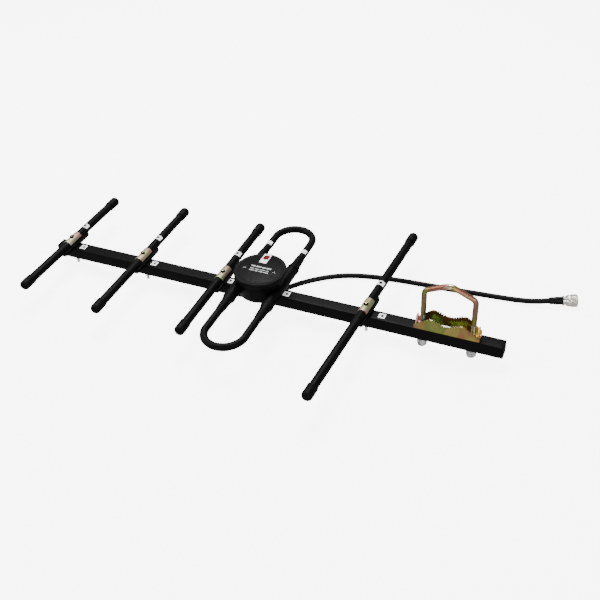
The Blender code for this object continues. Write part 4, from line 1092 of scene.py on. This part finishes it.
def build_gland():
    """A tapered, ringed strain relief under the housing, bent towards the cable."""
    x, y, top = Vector((*GLAND_TOP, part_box("cable_gland")[1].z))
    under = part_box("housing_base")[0].z - GAP
    neck_top = under - 0.0016
    heading = Vector(GLAND_HEADING).normalized()
    path = [(x, y, height) for height in (
        top, under, under - 0.00001, neck_top, neck_top - 0.00001)]
    radii = [0.0042, 0.0042, 0.0065, 0.0065, 0.0050]
    steps = 36
    for step in range(1, steps + 1):
        angle = math.radians(GLAND_BEND_ANGLE * step / steps)
        across = heading * GLAND_BEND_RADIUS * (1 - math.cos(angle))
        path.append((x + across.x, y + across.y, neck_top - GLAND_BEND_RADIUS * math.sin(angle)))
        ring = 0.0003 if step % 6 in (2, 3) else 0.0
        radii.append(0.0050 - 0.0013 * step / steps - ring)
    show("cable_gland", swept(path, lambda index, angle: radii[index], ROUND), "boot")


# ---------------------------------------------------------------- mast clamp

def saddle_outline():
    """Half of the wall's top edge, as (distance from the middle, height), from middle to end."""
    run = SADDLE_HUMP_OFFSET - 0.0028 - SADDLE_VALLEY_HALF
    rise = SADDLE_HUMP_HEIGHT - 0.0004 - SADDLE_VALLEY_HEIGHT
    points = [(SADDLE_VALLEY_HALF, SADDLE_VALLEY_HEIGHT)]
    for tooth in range(TOOTH_COUNT):
        done = (tooth + 1) / TOOTH_COUNT
        foot = SADDLE_VALLEY_HALF + run * tooth / TOOTH_COUNT + 0.0002
        base = SADDLE_VALLEY_HEIGHT + rise * done
        points += [(foot, base + TOOTH_DEPTH * 0.4),
                   (SADDLE_VALLEY_HALF + run * done, base - TOOTH_DEPTH * 0.6)]
    points += [(SADDLE_HUMP_OFFSET + beyond, SADDLE_HUMP_HEIGHT - drop) for beyond, drop in SADDLE_HUMP]
    points += [(SADDLE_HUMP_OFFSET + beyond, height) for beyond, height in SADDLE_SHOULDER]
    return points + [(SADDLE_LENGTH / 2, SADDLE_END_HEIGHT)]


def saddle_section(x, height, half):
    """The channel's outline across the boom: round lower corners, walls leaning outwards."""
    band = height - SADDLE_SHADE_BAND
    lean, band_lean, foot = (SADDLE_FLARE * level / SADDLE_HUMP_HEIGHT
                             for level in (height, band, SADDLE_SHEET))
    left = [*arc((-half + 0.0010, 0.0010), 0.0011, 270, 185, 4),
            (-half - lean, height), (-half - lean + SADDLE_SHEET, height),
            (-half - band_lean + SADDLE_SHEET, band),
            (-half - foot + SADDLE_SHEET, SADDLE_SHEET + 0.0003),
            (-half + SADDLE_SHEET + 0.0010, SADDLE_SHEET)]
    right = [(-y, z) for y, z in reversed(left)]
    return [(x, y, z) for y, z in left + right]


def build_saddle():
    boom_low, boom_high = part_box("boom_tube")
    place = at(middle_of("clamp_saddle")[0], 0.0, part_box("clamp_saddle")[0].z)
    right_half = saddle_outline()
    outline = [(-x, z) for x, z in reversed(right_half)] + right_half
    rings = [saddle_section(x, z, (boom_high.z - boom_low.z) / 2) for x, z in outline]
    saddle = new_object("fine_clamp_saddle", lofted(rings), "saddle", place)
    combine(saddle, [moved(cylinder(UBOLT_RADIUS + UBOLT_COAT + GAP, -PAST, PAST),
                           place @ at(sign * UBOLT_SPACING / 2)) for sign in (-1, 1)])
    colour_saddle(saddle, place.translation, outline)
    stand_in(saddle, "clamp_saddle")
    across = SADDLE_LENGTH / 2 - LUG_INSET - SADDLE_SHEET / 2
    for name, sign in (("front", -1), ("rear", 1)):
        lug = new_object(f"saddle_lug_{name}", build_lug(), "lug_" + name)
        lug.data.transform(place @ at(sign * across))
        soften(lug, 0.0005, 3)
        extra(lug, slot="zinc_yellow")


def colour_saddle(saddle, corner, outline):
    """Gives the far wall's inner side and its ends their own films; the far wall's top edge and the band under it
    get a painted shade, the near wall's top edges a painted highlight.
    """
    films = ("saddle", "saddle_inside", "saddle_band", "saddle_edge", "lug_front", "lug_rear")
    for name in films[1:]:
        saddle.data.materials.append(MATERIALS[name])
    for face in saddle.data.polygons:
        spot = face.center - corner
        edge_height = height_on(outline, spot.x)
        far = spot.y > 0.0
        if far and abs(spot.x) > UBOLT_SPACING / 2:
            face.material_index = films.index("lug_front" if spot.x < 0.0 else "lug_rear")
        # Top edges: painted shade on the far wall, painted highlight on the near wall.
        elif spot.z > edge_height - 0.001 and face.normal.z > 0.3:
            face.material_index = films.index("saddle_band" if far else "saddle_edge")
        elif far and face.normal.y < -0.5:
            # The top of the far wall's inner side gets the painted shade as well.
            in_band = spot.z > edge_height - SADDLE_SHADE_BAND
            face.material_index = films.index("saddle_band" if in_band else "saddle_inside")


def height_on(outline, x):
    """The height of a wall's top edge at a distance from the saddle's middle."""
    for (start, start_height), (end, end_height) in zip(outline, outline[1:]):
        if start <= x <= end:
            return start_height + (end_height - start_height) * (x - start) / max(end - start, 1e-6)
    return 0.0


def build_lug():
    """A sheet lug whose outline bulges twice, standing across the saddle's end."""
    lobe = LUG_WIDTH / 2
    upper = LUG_HEIGHT - lobe
    lower = upper - lobe * 1.6
    outline = [(-lobe * 0.8, SADDLE_SHEET * 0.5), (lobe * 0.8, SADDLE_SHEET * 0.5)]
    for height, start, end, steps in ((lower, -35, 48, 8), (upper, -42, 222, 24), (lower, 132, 215, 8)):
        outline += arc((0.0, height), lobe, start, end, steps)
    return extruded_x(outline, SADDLE_SHEET * 0.98)


def filleted(corners, radii, steps):
    """A polyline through flat corners with each inner corner rounded to its radius."""
    points = [Vector(corners[0])]
    for before, corner, after, radius in zip(corners, corners[1:], corners[2:], radii):
        here = Vector(corner)
        incoming = (Vector(before) - here).normalized()
        outgoing = (Vector(after) - here).normalized()
        half_angle = incoming.angle(outgoing) / 2
        centre = here + (incoming + outgoing).normalized() * (radius / math.sin(half_angle))
        start, end = ((here + side * (radius / math.tan(half_angle)) - centre).normalized()
                      for side in (incoming, outgoing))
        points += [centre + start.slerp(end, step / steps) * radius for step in range(steps + 1)]
    return points + [Vector(corners[-1])]


def build_u_bolt():
    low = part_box("u_bolt")[0].z
    middle_x = middle_of("u_bolt")[0]
    half = UBOLT_SPACING / 2
    corners = [(-half, UBOLT_THREAD_TOP), (-half, UBOLT_SHOULDER_HEIGHT), (0.0, UBOLT_APEX_HEIGHT),
               (half, UBOLT_SHOULDER_HEIGHT), (half, UBOLT_THREAD_TOP)]
    crown = filleted(corners, [UBOLT_SHOULDER_BEND, UBOLT_APEX_BEND, UBOLT_SHOULDER_BEND], 16)
    rows = int((UBOLT_THREAD_TOP - low) / UBOLT_PITCH * 5)
    leg = evenly(low, UBOLT_THREAD_TOP, rows)[:-1]
    plan = [Vector((-half, z)) for z in leg] + crown + [Vector((half, z)) for z in reversed(leg)]

    def radius_at(index, angle):
        height = plan[index].y
        if index in (0, len(plan) - 1):
            return UBOLT_RADIUS - UBOLT_THREAD_DEPTH
        if height >= UBOLT_THREAD_TOP or rows <= index < len(plan) - rows:
            return UBOLT_RADIUS + UBOLT_COAT
        fade = min(1.0, (UBOLT_THREAD_TOP - height) / UBOLT_THREAD_FADE)
        return UBOLT_RADIUS - UBOLT_THREAD_DEPTH * fade * thread_depth(height, angle, UBOLT_PITCH)

    path = [(middle_x + point.x, 0.0, point.y) for point in plan]
    bolt = new_object("fine_u_bolt", swept(path, radius_at, 28), "u_bolt_crown", sharp_angle=50)
    films = ("u_bolt_crown", "u_bolt_leg", "thread")
    for name in films[1:]:
        bolt.data.materials.append(MATERIALS[name])
    for face in bolt.data.polygons:
        if face.center.z < UBOLT_THREAD_TOP:
            face.material_index = films.index("thread")
        elif face.center.z < UBOLT_SHOULDER_HEIGHT - UBOLT_SHOULDER_BEND:
            face.material_index = films.index("u_bolt_leg")
    stand_in(bolt, "u_bolt")


def build_clamp_nut(end):
    """A hexagon nut with a flange above and a collar below, and the washer over it."""
    node = f"clamp_nut_{end}"
    place = at(JOINTS[f"{node}_turn"]["pos_m"][0])
    low, high = (corner.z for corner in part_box(node))
    base, flange_low = high - CLAMP_NUT_HEIGHT, high - CLAMP_NUT_FLANGE
    bore, rim, edge = UBOLT_RADIUS + 0.0002, CLAMP_NUT_FLANGE_RADIUS, CLAMP_NUT_COLLAR_RADIUS
    nut = hex_nut(node, CLAMP_NUT_ACROSS_FLATS, base, flange_low, bore, CLAMP_NUT_TURN)
    nut.data.transform(place)
    stand_in(nut, node)
    flange = turned([(bore, flange_low), (rim - 0.0006, flange_low), (rim, flange_low + 0.0006),
                     (rim, high - 0.0002), (rim - 0.0002, high), (bore, high)])
    collar = turned([(bore, base), (edge, base), (edge, low + 0.0006),
                     *arc((edge - 0.0006, low + 0.0006), 0.0006, 0, -75, 5),
                     (edge * 0.75, low), (bore, low)])
    for name, ring in (("flange", flange), ("collar", collar)):
        extra(new_object(f"{node}_{name}", ring, "steel", place), node, SLOT_OF[node])

    washer = f"clamp_washer_{end}"
    washer_low, washer_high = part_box(washer)
    inner, thick = UBOLT_RADIUS + GAP, washer_high.z - washer_low.z
    disc = turned([(inner, 0.0), (WASHER_RADIUS - 0.0002, 0.0), (WASHER_RADIUS, 0.0002),
                   (WASHER_RADIUS, thick - 0.0003), (WASHER_RADIUS - 0.0003, thick), (inner, thick)])
    show(washer, disc, "steel", at(JOINTS[f"{node}_turn"]["pos_m"][0], 0.0, washer_low.z))


# ---------------------------------------------------------------- assembly

def main():
    add_camera()
    make_materials()
    build_cable()
    add_stage()
    build_boom()
    for name, label_at in ROD_LABELS.items():
        build_element(name, label_at)
    build_dipole()
    build_housing()
    add_boom_stickers()
    build_small_parts()
    build_saddle()
    build_u_bolt()
    for end in ("front", "rear"):
        build_clamp_nut(end)


main()
